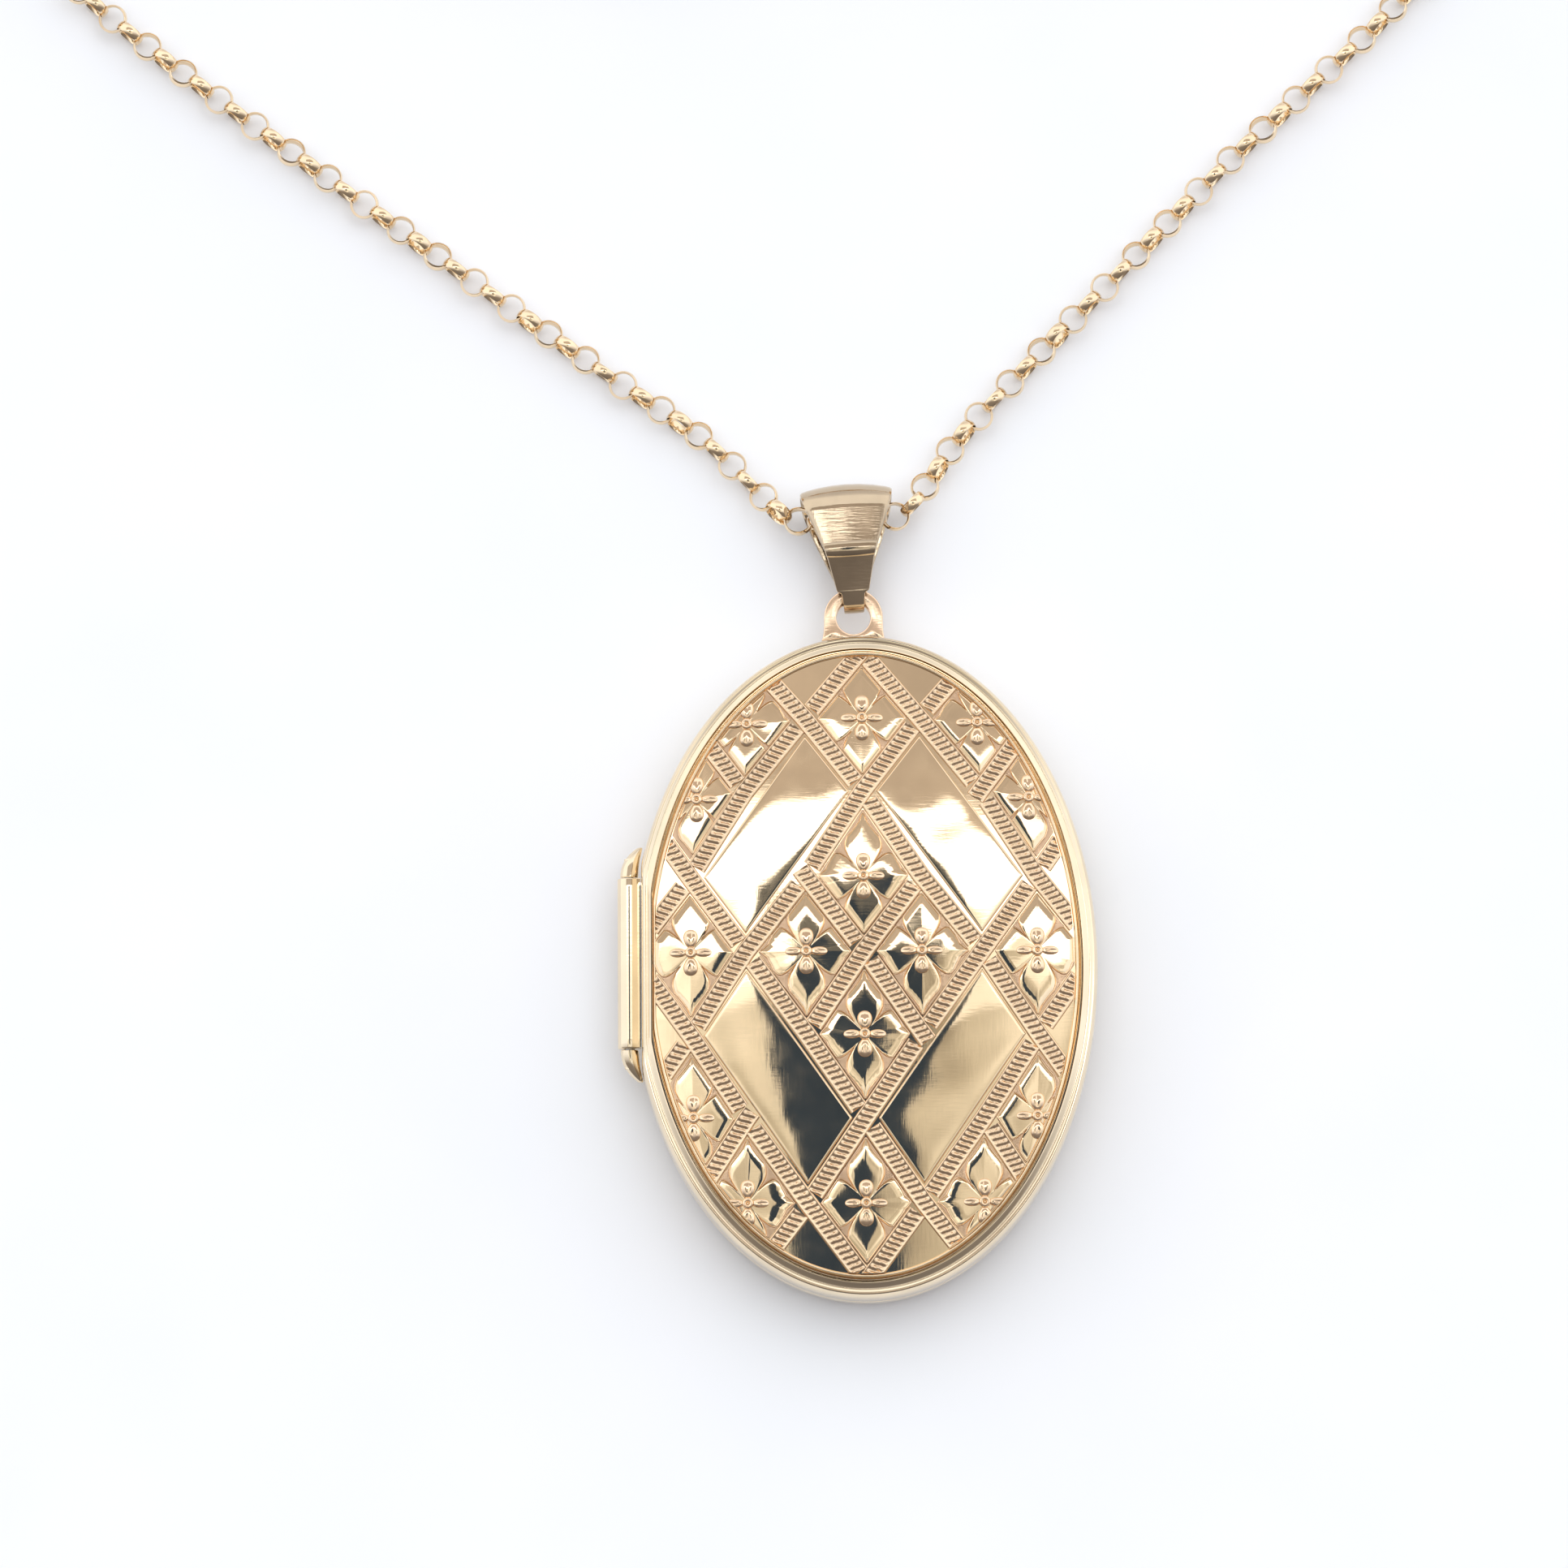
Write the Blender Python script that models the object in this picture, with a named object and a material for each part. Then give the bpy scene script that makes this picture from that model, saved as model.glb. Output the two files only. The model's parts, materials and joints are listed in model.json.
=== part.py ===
"""An oval engraved gold locket on its belcher chain, lying on its back.

Frame: the origin is the middle of the flat back face. +X is the side that the cover opens
from, +Y points from the case to the bail, and +Z comes out of the engraved face.
The lengths below are in millimetres and are turned into metres by the function at().
"""

import math

import bmesh
import bpy
from mathutils import Matrix, Vector

MILLIMETRE = 0.001

# The case: two shallow oval halves, each a rim band and a face plate.
CASE_HALF_WIDTH = 13.0
CASE_HALF_LENGTH = 18.6
PARTING_Z = 2.8
HALF_SEAM = 0.03
FIT_GAP = 0.05
OVAL_POINTS = 48
HINGE_FLAT_X = -12.35
HINGE_FLAT_FADE = 0.64
BAND_WALL = 0.42
BAND_TOP_Z = 4.98
LEDGE_INSET = 1.30
LEDGE_TOP_Z = 4.48
LEDGE_BOTTOM_Z = 4.22
PLATE_INSET = 0.94
PLATE_THICKNESS = 0.40
BORDER_INSET = 1.22
BORDER_Z = 5.03
RIDGE_INSET = 1.08
RIDGE_Z = 5.09
PLATE_LIP = 0.20
DOME_RISE = 0.55
DOME_SCALES = (0.16, 0.32, 0.48, 0.64, 0.78, 0.90)
BACK_CROWN = [(0.72, 0.0), (0.80, 0.06), (0.90, 0.24), (1.0, 0.52)]
BACK_EDGE_Z = 0.62

# Inside: the snap rim stands up from the back half, and each half holds a picture.
RIM_INSET = BAND_WALL + FIT_GAP
RIM_WALL = 0.53
FRONT_RIM_BOTTOM_Z = 3.48
SNAP_RIM_TOP_Z = 3.40
SNAP_RIM_CHAMFER = 0.12
HOLDER_GAP = 0.07
HOLDER_INSET = RIM_INSET + RIM_WALL + HOLDER_GAP
CARD_TOP_Z = LEDGE_BOTTOM_Z - FIT_GAP
CARD_THICKNESS = 0.17
WINDOW_THICKNESS = 0.20
FRAME_THICKNESS = 0.26
FRAME_WIDTH = 1.65
FRAME_LIP = 0.12
FRAME_BEVEL = 0.35

# The hinge: one long knuckle on the cover between two tapered ones on the back.
TUBE_RADIUS = 0.65
HINGE_X = HINGE_FLAT_X - FIT_GAP - TUBE_RADIUS
TUBE_BORE = 0.31
PIN_RADIUS = 0.25
TUBE_LOW_Y = -4.43
TUBE_HIGH_Y = 5.13
KNUCKLE_LENGTH = 1.75
KNUCKLE_GAP = 0.08
KNUCKLE_RADIUS = 0.50
KNUCKLE_TIP_RADIUS = 0.16
KNUCKLE_TIP_X = -12.42
KNUCKLE_TIP_DROP = 0.25
KNUCKLE_WAIST_RADIUS = 0.43
KNUCKLE_WAIST_SHARE = 0.55
KNUCKLE_WAIST_SHIFT = 0.16
KNUCKLE_WAIST_DROP = 0.06
LEAF_LOW = 0.10
LEAF_HIGH = 0.50
PIN_REACH = 1.0
PIN_CLEARANCE = 0.02
ROUND_STEPS = 16

# The suspension loop: a flat eyelet on the back half's band.
LOOP_X = -0.39
LOOP_HALF_WIDTH = 1.66
LOOP_HOLE_Y = 20.0
LOOP_HOLE_RADIUS = 0.95
LOOP_LOW_Z = 1.80
LOOP_HIGH_Z = 2.60
LOOP_ROOT_Y = CASE_HALF_LENGTH + FIT_GAP
LOOP_ARC_STEPS = 16
BAR_Y = 21.3

# The bail: a tapered strap folded through the loop and round the chain.
BAIL_THICKNESS = 0.32
BAIL_TILT = math.radians(3.5)
# Side view of the strap's middle line from the bottom fold, up the front, round the top and
# down the back: (y, z, width).
BAIL_STRAP = [
    (20.48, 2.20, 1.04), (20.72, 2.76, 1.06), (21.30, 3.00, 1.60), (21.95, 3.22, 1.92),
    (22.75, 3.50, 2.36), (23.50, 3.78, 2.84), (24.40, 3.76, 3.50), (25.40, 3.68, 4.22),
    (26.20, 3.56, 4.80), (26.75, 3.30, 5.08), (27.08, 2.85, 5.18), (27.20, 2.25, 5.20),
    (27.15, 1.60, 5.18), (26.95, 1.00, 5.12), (26.50, 0.50, 4.96), (25.80, 0.24, 4.50),
    (24.70, 0.20, 3.74), (23.50, 0.24, 2.84), (22.40, 0.72, 2.20), (21.30, 1.40, 1.60),
    (20.72, 1.64, 1.06),
]

# The chain: a free cord, plain tubes here, lying on the surface under the locket.
CHAIN_RADIUS = 0.83
TUBE_STEP = 2.15 * 2.0 * CHAIN_RADIUS
LEFT_RUN = [
    (-0.86, 25.90, 1.80), (-2.40, 25.70, 1.80), (-4.10, 25.95, 1.65), (-6.00, 27.90, 1.05),
    (-9.00, 30.85, 0.86),
    (-14.60, 34.75, 0.86), (-21.30, 39.60, 0.86), (-28.30, 44.75, 0.86), (-35.60, 50.20, 0.86),
    (-42.00, 55.20, 0.86), (-45.40, 58.60, 0.86), (-46.40, 62.60, 0.86), (-43.80, 65.90, 0.86),
    (-39.20, 65.80, 0.86), (-31.00, 62.60, 0.86), (-22.00, 60.50, 0.86), (-12.00, 59.90, 0.86),
    (-4.60, 60.60, 0.86), (-0.40, 63.00, 0.86), (0.80, 65.80, 0.86),
]
RIGHT_RUN = [
    (-0.54, 25.90, 1.80), (0.90, 25.82, 1.80), (2.60, 26.25, 1.60), (4.20, 28.45, 1.05),
    (6.20, 31.20, 0.86),
    (10.40, 35.60, 0.86), (15.80, 41.10, 0.86), (21.30, 46.70, 0.86), (26.60, 51.60, 0.86),
    (30.40, 55.20, 0.86), (33.50, 58.90, 0.86), (34.20, 63.00, 0.86), (31.40, 66.10, 0.86),
    (27.00, 66.00, 0.86), (18.50, 63.00, 0.86), (11.50, 61.10, 0.86), (6.90, 61.60, 0.86),
    (3.70, 64.10, 0.86), (2.76, 67.60, 0.86),
]
LEFT_TAIL = [
    (5.20, 72.65, 2.05), (7.60, 74.05, 1.25), (9.90, 75.30, 0.88), (12.30, 76.45, 0.86),
    (14.85, 77.00, 0.86),
]
RIGHT_TAIL = [
    (5.00, 70.35, 2.10), (7.60, 71.75, 1.30), (10.00, 72.55, 0.88), (12.60, 72.70, 0.86),
    (15.30, 72.95, 0.86), (17.58, 74.08, 0.86),
]
COIL_CENTRE = (-8.5, 75.0)
COIL_INNER_RADIUS = 5.1
COIL_OUTER_RADIUS = 12.2
COIL_LOW_Z = 0.02
COIL_HIGH_Z = 3.32
COIL_EDGE = 0.7

# The clasp: a bolt ring that joins the chain's two ends.
CLASP = (20.5, 77.0, 1.10)
CLASP_RADIUS = 2.30
CLASP_TUBE = 0.55
CLASP_BORE = 0.37
MOUTH_END = math.radians(20.0)
MOUTH_START = math.radians(75.0)
BOLT_TIP = math.radians(15.0)
BOLT_TAIL = math.radians(115.0)
BOLT_RADIUS = 0.29
SLOT_START = math.radians(74.0)
SLOT_END = math.radians(138.0)
SLOT_HALF_WIDTH = 0.19
THUMB_ANGLE = math.radians(82.0)
THUMB_HALF_ANGLE = math.radians(2.6)
THUMB_HALF_WIDTH = 0.13
THUMB_REACH = 1.0
SPRING_START = math.radians(118.0)
SPRING_END = math.radians(285.0)
SPRING_COIL_RADIUS = 0.22
SPRING_WIRE_RADIUS = 0.05
SPRING_TURNS = 10
SPRING_STEPS = 8
EYE_DISTANCE = 3.62
EYE_RADIUS = 0.55
RING_WIRE = 0.17
JUMP_RING_DISTANCE = 4.47
JUMP_RING_RADIUS = 0.85
JUMP_RING_Z = 1.04
END_RING_ANGLE = math.radians(225.0)
END_RING_DISTANCE = 2.50
END_RING_RADIUS = 1.25
END_RING_WIRE = 0.20
END_RING_Z = 1.47

ROSE_GOLD = (0.80, 0.53, 0.33)
YELLOW_GOLD = (0.84, 0.66, 0.38)
PALE_GOLD = (0.74, 0.66, 0.47)
STEEL = (0.55, 0.55, 0.56)
PAPER = (0.86, 0.83, 0.76)
CLEAR = (0.92, 0.95, 0.96)


def clear_scene():
    for item in list(bpy.data.objects):
        bpy.data.objects.remove(item, do_unlink=True)


def make_material(name, colour, roughness, metallic, alpha=1.0):
    material = bpy.data.materials.new(name)
    material.use_nodes = True
    shader = material.node_tree.nodes["Principled BSDF"]
    shader.inputs["Base Color"].default_value = (*colour, 1.0)
    shader.inputs["Roughness"].default_value = roughness
    shader.inputs["Metallic"].default_value = metallic
    shader.inputs["Alpha"].default_value = alpha
    return material


def at(x, y, z):
    return Vector((x, y, z)) * MILLIMETRE


def add_object(name, mesh, material, sharp_angle=35.0):
    mesh.materials.append(material)
    mesh.shade_smooth()
    mesh.set_sharp_from_angle(angle=math.radians(sharp_angle))
    item = bpy.data.objects.new(name, mesh)
    bpy.context.collection.objects.link(item)
    return item


def loft(name, sections, closed=False):
    """A mesh through loops of points in millimetres: a closed ring of them, or capped ends."""
    bm = bmesh.new()
    loops = [[bm.verts.new(at(*point)) for point in section] for section in sections]
    following = loops[1:] + loops[:1] if closed else loops[1:]
    for first, second in zip(loops, following):
        count = len(first)
        for i in range(count):
            j = (i + 1) % count
            bm.faces.new((first[i], first[j], second[j], second[i]))
    if not closed:
        bm.faces.new(loops[0][::-1])
        bm.faces.new(loops[-1])
    if bm.calc_volume(signed=True) < 0.0:
        bmesh.ops.reverse_faces(bm, faces=bm.faces)
    mesh = bpy.data.meshes.new(name)
    bm.to_mesh(mesh)
    bm.free()
    return mesh


def oval(inset, z, scale=1.0):
    """The case's outline moved in by inset: an ellipse with a short flat for the hinge."""
    points = []
    flat = HINGE_FLAT_X + HINGE_FLAT_FADE * inset
    for i in range(OVAL_POINTS):
        angle = 2.0 * math.pi * (i + 0.5) / OVAL_POINTS
        x = max((CASE_HALF_WIDTH - inset) * math.cos(angle), flat)
        y = (CASE_HALF_LENGTH - inset) * math.sin(angle)
        points.append((x * scale, y * scale, z))
    return points


def below_parting(profile):
    """The same (inset, z) profile turned over for the back half."""
    return [(inset, 2.0 * PARTING_Z - z) for inset, z in profile]


def oval_ring(name, profile, material):
    sections = [oval(inset, z) for inset, z in profile]
    return add_object(name, loft(name, sections, closed=True), material)


def oval_disc(name, inset, low_z, high_z, material):
    sections = [oval(inset, low_z), oval(inset, high_z)]
    return add_object(name, loft(name, sections), material)


def circle(centre, side, up, radius, steps=ROUND_STEPS):
    points = []
    for i in range(steps):
        angle = 2.0 * math.pi * (i + 0.5) / steps
        offset = side * math.cos(angle) * radius + up * math.sin(angle) * radius
        points.append(tuple(centre + offset))
    return points


def wire_ring(centre, first, second, radius, wire, steps=24, sides=8):
    """Sections of a round wire ring whose plane is spanned by first and second."""
    sections = []
    axis = first.cross(second)
    for i in range(steps):
        angle = 2.0 * math.pi * i / steps
        outward = first * math.cos(angle) + second * math.sin(angle)
        sections.append(circle(centre + outward * radius, outward, axis, wire, sides))
    return sections


# ------------------------------------------------------------------ the two halves

BAND_PROFILE = [
    (0.03, PARTING_Z + HALF_SEAM), (0.0, 3.05), (0.0, 4.00), (0.09, 4.42), (0.32, 4.78),
    (0.60, 4.94), (0.86, BAND_TOP_Z), (0.89, LEDGE_TOP_Z), (LEDGE_INSET, LEDGE_TOP_Z),
    (LEDGE_INSET, LEDGE_BOTTOM_Z), (BAND_WALL, LEDGE_BOTTOM_Z),
    (BAND_WALL, PARTING_Z + HALF_SEAM),
]


def front_face_plate(material):
    crown = [(scale, BORDER_Z + DOME_RISE * (1.0 - scale * scale)) for scale in DOME_SCALES]
    sections = [oval(BORDER_INSET, z, scale) for scale, z in crown]
    sections.append(oval(BORDER_INSET, BORDER_Z))
    sections.append(oval(RIDGE_INSET, RIDGE_Z))
    sections.append(oval(PLATE_INSET, BAND_TOP_Z))
    sections.append(oval(PLATE_INSET, LEDGE_TOP_Z + FIT_GAP))
    sections.append(oval(BORDER_INSET + PLATE_LIP, LEDGE_TOP_Z + FIT_GAP))
    for scale, z in reversed(crown):
        sections.append(oval(BORDER_INSET + PLATE_LIP, z - PLATE_THICKNESS, scale))
    return add_object("front_face_plate", loft("front_face_plate", sections), material)


def back_face_plate(material):
    sections = [oval(BORDER_INSET, z, scale) for scale, z in BACK_CROWN]
    sections.append(oval(PLATE_INSET, BACK_EDGE_Z))
    sections.append(oval(PLATE_INSET, 2.0 * PARTING_Z - LEDGE_TOP_Z - FIT_GAP))
    sections.append(oval(BORDER_INSET + PLATE_LIP, 2.0 * PARTING_Z - LEDGE_TOP_Z - FIT_GAP))
    for scale, z in reversed(BACK_CROWN[:-1]):
        sections.append(oval(BORDER_INSET + PLATE_LIP, z + PLATE_THICKNESS, scale))
    return add_object("back_face_plate", loft("back_face_plate", sections), material)


def case_halves(yellow, rose, pale):
    oval_ring("front_rim_band", BAND_PROFILE, pale)
    oval_ring("back_rim_band", below_parting(BAND_PROFILE), pale)
    front_face_plate(rose)
    back_face_plate(yellow)
    rim_inner = RIM_INSET + RIM_WALL
    rim_top = LEDGE_BOTTOM_Z - FIT_GAP
    front_rim = [
        (RIM_INSET, FRONT_RIM_BOTTOM_Z), (RIM_INSET, rim_top),
        (rim_inner, rim_top), (rim_inner, FRONT_RIM_BOTTOM_Z),
    ]
    snap_rim = [
        (RIM_INSET, 2.0 * PARTING_Z - rim_top), (RIM_INSET, SNAP_RIM_TOP_Z - SNAP_RIM_CHAMFER),
        (RIM_INSET + SNAP_RIM_CHAMFER, SNAP_RIM_TOP_Z), (rim_inner, SNAP_RIM_TOP_Z),
        (rim_inner, 2.0 * PARTING_Z - rim_top),
    ]
    oval_ring("front_inner_rim", front_rim, yellow)
    oval_ring("back_snap_rim", snap_rim, yellow)


def picture_holder(side, yellow, paper, clear):
    """A blank picture card, its clear window and the oval frame that keeps them in."""
    def place(z):
        return z if side == "front" else 2.0 * PARTING_Z - z
    card_low = CARD_TOP_Z - CARD_THICKNESS
    window_top = card_low - FIT_GAP
    window_low = window_top - WINDOW_THICKNESS
    frame_top = window_low - FIT_GAP
    frame_low = frame_top - FRAME_THICKNESS
    oval_disc(side + "_photo_card", HOLDER_INSET, place(card_low), place(CARD_TOP_Z), paper)
    oval_disc(side + "_photo_window", HOLDER_INSET, place(window_low), place(window_top), clear)
    frame_inner = HOLDER_INSET + FRAME_WIDTH
    profile = [
        (HOLDER_INSET, place(frame_low)), (HOLDER_INSET, place(frame_top)),
        (frame_inner, place(frame_top)), (frame_inner, place(frame_top - FRAME_LIP)),
        (frame_inner - FRAME_BEVEL, place(frame_low)),
    ]
    oval_ring(side + "_photo_frame", profile, yellow)


# ------------------------------------------------------------------ hinge

def knuckle_tube(name, material):
    """The cover's long knuckle: a tube whose leaf reaches the cover's band."""
    leaf_tip_x = HINGE_FLAT_X - FIT_GAP
    leaf_low_z = PARTING_Z + LEAF_LOW
    leaf_high_z = PARTING_Z + LEAF_HIGH
    start = math.asin((leaf_high_z - PARTING_Z) / TUBE_RADIUS)
    end = 2.0 * math.pi + math.asin((leaf_low_z - PARTING_Z) / TUBE_RADIUS)
    steps = ROUND_STEPS + 4
    outline = []
    for i in range(steps):
        angle = start + (end - start) * i / (steps - 1)
        x = HINGE_X + TUBE_RADIUS * math.cos(angle)
        z = PARTING_Z + TUBE_RADIUS * math.sin(angle)
        outline.append((x, z))
    outline.append((leaf_tip_x, leaf_low_z))
    outline.append((leaf_tip_x, leaf_high_z))
    bore = []
    count = len(outline)
    for i in range(count):
        angle = start + 2.0 * math.pi * i / count
        x = HINGE_X + TUBE_BORE * math.cos(angle)
        z = PARTING_Z + TUBE_BORE * math.sin(angle)
        bore.append((x, z))
    sections = [
        [(x, TUBE_LOW_Y, z) for x, z in outline], [(x, TUBE_HIGH_Y, z) for x, z in outline],
        [(x, TUBE_HIGH_Y, z) for x, z in bore], [(x, TUBE_LOW_Y, z) for x, z in bore],
    ]
    return add_object(name, loft(name, sections, closed=True), material)


def end_knuckle(name, inner_y, direction, material):
    """A knuckle on the back half, tapering into the case, with a blind hole for the pin."""
    side = Vector((1.0, 0.0, 0.0))
    up = Vector((0.0, 0.0, 1.0))
    axis_z = PARTING_Z
    tip_z = PARTING_Z - KNUCKLE_TIP_DROP
    bore_depth = PIN_REACH + FIT_GAP
    waist_y = inner_y + direction * KNUCKLE_LENGTH * KNUCKLE_WAIST_SHARE
    tip_y = inner_y + direction * KNUCKLE_LENGTH
    mouth = Vector((HINGE_X, inner_y, axis_z))
    waist = Vector((HINGE_X + KNUCKLE_WAIST_SHIFT, waist_y, axis_z - KNUCKLE_WAIST_DROP))
    tip = Vector((KNUCKLE_TIP_X, tip_y, tip_z))
    bore_end = Vector((HINGE_X, inner_y + direction * bore_depth, axis_z))
    sections = [
        circle(bore_end, side, up, PIN_RADIUS + PIN_CLEARANCE),
        circle(mouth, side, up, PIN_RADIUS + PIN_CLEARANCE),
        circle(mouth, side, up, KNUCKLE_RADIUS),
        circle(waist, side, up, KNUCKLE_WAIST_RADIUS),
        circle(tip, side, up, KNUCKLE_TIP_RADIUS),
    ]
    return add_object(name, loft(name, sections), material)


def hinge(rose, steel):
    knuckle_tube("hinge_centre_knuckle", rose)
    end_knuckle("hinge_upper_knuckle", TUBE_HIGH_Y + KNUCKLE_GAP, 1.0, rose)
    end_knuckle("hinge_lower_knuckle", TUBE_LOW_Y - KNUCKLE_GAP, -1.0, rose)
    side = Vector((1.0, 0.0, 0.0))
    up = Vector((0.0, 0.0, 1.0))
    low = Vector((HINGE_X, TUBE_LOW_Y - KNUCKLE_GAP - PIN_REACH + FIT_GAP, PARTING_Z))
    high = Vector((HINGE_X, TUBE_HIGH_Y + KNUCKLE_GAP + PIN_REACH - FIT_GAP, PARTING_Z))
    sections = [circle(low, side, up, PIN_RADIUS), circle(high, side, up, PIN_RADIUS)]
    add_object("hinge_pin", loft("hinge_pin", sections), steel)


# ------------------------------------------------------------------ loop and bail

def suspension_loop(material):
    """A flat plate with a round top, straight legs and a round hole."""
    outline = []
    hole = []
    for i in range(LOOP_ARC_STEPS + 1):
        angle = math.pi * i / LOOP_ARC_STEPS
        outline.append((LOOP_HALF_WIDTH * math.cos(angle), LOOP_HALF_WIDTH * math.sin(angle)))
    foot = LOOP_ROOT_Y - LOOP_HOLE_Y
    feet = (-1.0, -0.6, -0.2, 0.2, 0.6, 1.0)
    outline += [(share * LOOP_HALF_WIDTH, foot) for share in feet]
    for x, y in outline:
        angle = math.atan2(y, x)
        hole.append((LOOP_HOLE_RADIUS * math.cos(angle), LOOP_HOLE_RADIUS * math.sin(angle)))

    def lift(points, z):
        return [(LOOP_X + x, LOOP_HOLE_Y + y, z) for x, y in points]
    sections = [
        lift(outline, LOOP_LOW_Z), lift(outline, LOOP_HIGH_Z),
        lift(hole, LOOP_HIGH_Z), lift(hole, LOOP_LOW_Z),
    ]
    mesh = loft("suspension_loop", sections, closed=True)
    return add_object("suspension_loop", mesh, material)


def bail(material):
    sections = []
    count = len(BAIL_STRAP)
    turn = Matrix.Rotation(BAIL_TILT, 3, "Z")
    pivot = Vector((LOOP_X, BAR_Y, 0.0))
    for i, (y, z, width) in enumerate(BAIL_STRAP):
        before = BAIL_STRAP[i - 1]
        after = BAIL_STRAP[(i + 1) % count]
        run = Vector((0.0, after[0] - before[0], after[1] - before[1])).normalized()
        normal = Vector((1.0, 0.0, 0.0)).cross(run) * (BAIL_THICKNESS / 2.0)
        across = Vector((width / 2.0, 0.0, 0.0))
        middle = Vector((LOOP_X, y, z))
        corners = [
            middle - across - normal, middle + across - normal,
            middle + across + normal, middle - across + normal,
        ]
        sections.append([tuple(pivot + turn @ (corner - pivot)) for corner in corners])
    return add_object("bail", loft("bail", sections, closed=True), material)


# ------------------------------------------------------------------ chain

def smooth_curve(points, step):
    """Points about one step apart on a Catmull-Rom curve through the given points."""
    route = [Vector(point) for point in points]
    route = [route[0] * 2.0 - route[1]] + route + [route[-1] * 2.0 - route[-2]]
    fine = []
    pieces = 12
    for a, b, c, d in zip(route, route[1:], route[2:], route[3:]):
        for k in range(pieces):
            t = k / pieces
            fine.append(
                0.5 * (2.0 * b + (c - a) * t + (2.0 * a - 5.0 * b + 4.0 * c - d) * t ** 2
                       + (3.0 * b - a - 3.0 * c + d) * t ** 3)
            )
    fine.append(route[-2])
    length = sum((q - p).length for p, q in zip(fine, fine[1:]))
    count = max(2, round(length / step))
    spaced = [fine[0]]
    walked = 0.0
    for p, q in zip(fine, fine[1:]):
        walked += (q - p).length
        if walked >= length * len(spaced) / count and len(spaced) < count:
            spaced.append(q)
    spaced.append(fine[-1])
    return spaced


def chain_tube(name, route, material):
    curve = bpy.data.curves.new(name, "CURVE")
    curve.dimensions = "3D"
    curve.bevel_depth = CHAIN_RADIUS * MILLIMETRE
    curve.bevel_resolution = 2
    curve.use_fill_caps = True
    points = smooth_curve(route, TUBE_STEP)
    spline = curve.splines.new("POLY")
    spline.points.add(len(points) - 1)
    for spot, point in zip(spline.points, points):
        spot.co = (*at(*point), 1.0)
    curve.materials.append(material)
    item = bpy.data.objects.new(name, curve)
    bpy.context.collection.objects.link(item)
    return item


def chain_coil(material):
    """The outer shape of the neat coil in which the chain's spare length lies."""
    low, high = COIL_LOW_Z, COIL_HIGH_Z
    inner, outer, edge = COIL_INNER_RADIUS, COIL_OUTER_RADIUS, COIL_EDGE
    profile = [
        (outer - edge, low), (outer, low + edge), (outer, high - edge), (outer - edge, high),
        (inner + edge, high), (inner, high - edge), (inner, low + edge), (inner + edge, low),
    ]
    steps = 32
    sections = []
    for radius, z in profile:
        ring = []
        for i in range(steps):
            angle = 2.0 * math.pi * i / steps
            x = COIL_CENTRE[0] + radius * math.cos(angle)
            y = COIL_CENTRE[1] + radius * math.sin(angle)
            ring.append((x, y, z))
        sections.append(ring)
    return add_object("chain_coil", loft("chain_coil", sections, closed=True), material)


def chain(material):
    chain_tube("chain_left_run", LEFT_RUN, material)
    chain_tube("chain_right_run", RIGHT_RUN, material)
    chain_coil(material)
    chain_tube("chain_left_tail", LEFT_TAIL, material)
    chain_tube("chain_right_tail", RIGHT_TAIL, material)


# ------------------------------------------------------------------ clasp

def ring_sections(start, end, steps, radius, sides):
    """Round sections along the bolt ring's middle line between two angles."""
    centre = Vector(CLASP)
    up = Vector((0.0, 0.0, 1.0))
    sections = []
    for i in range(steps + 1):
        angle = start + (end - start) * i / steps
        outward = Vector((math.cos(angle), math.sin(angle), 0.0))
        sections.append(circle(centre + outward * CLASP_RADIUS, outward, up, radius, sides))
    return sections


def block_sections(start, end, steps, inner, outer, half_width):
    """Rectangular sections between two radii along the bolt ring."""
    centre = Vector(CLASP)
    up = Vector((0.0, 0.0, half_width))
    sections = []
    for i in range(steps + 1):
        angle = start + (end - start) * i / steps
        outward = Vector((math.cos(angle), math.sin(angle), 0.0))
        near = centre + outward * inner
        far = centre + outward * outer
        sections.append([tuple(p) for p in (near - up, far - up, far + up, near + up)])
    return sections


def hidden_cutter(name, sections):
    item = bpy.data.objects.new(name, loft(name, sections))
    bpy.context.collection.objects.link(item)
    item.hide_render = True
    item.display_type = "WIRE"
    return item


def boolean(target, other, operation):
    modifier = target.modifiers.new(operation.lower(), "BOOLEAN")
    modifier.operation = operation
    modifier.object = other
    modifier.solver = "EXACT"


def bolt_ring_body(material):
    """A hollow tube bent round to a C, with a slot for the thumb piece."""
    full_end = MOUTH_END + 2.0 * math.pi
    outside = ring_sections(MOUTH_START, full_end, 24, CLASP_TUBE, 10)
    inside = ring_sections(MOUTH_START, full_end, 24, CLASP_BORE, 10)
    mesh = loft("bolt_ring_body", outside + inside[::-1], closed=True)
    body = add_object("bolt_ring_body", mesh, material)
    slot = block_sections(
        SLOT_START, SLOT_END, 8, CLASP_RADIUS + 0.1, CLASP_RADIUS + 0.8, SLOT_HALF_WIDTH
    )
    boolean(body, hidden_cutter("slot_cutter", slot), "DIFFERENCE")
    return body


def bolt_ring_trigger(material):
    """The sliding bolt with its thumb piece."""
    mesh = loft("bolt_ring_trigger", ring_sections(BOLT_TIP, BOLT_TAIL, 10, BOLT_RADIUS, 8))
    trigger = add_object("bolt_ring_trigger", mesh, material)
    thumb = block_sections(
        THUMB_ANGLE - THUMB_HALF_ANGLE, THUMB_ANGLE + THUMB_HALF_ANGLE, 2,
        CLASP_RADIUS + 0.05, CLASP_RADIUS + THUMB_REACH, THUMB_HALF_WIDTH
    )
    boolean(trigger, hidden_cutter("thumb_shape", thumb), "UNION")
    return trigger


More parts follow.
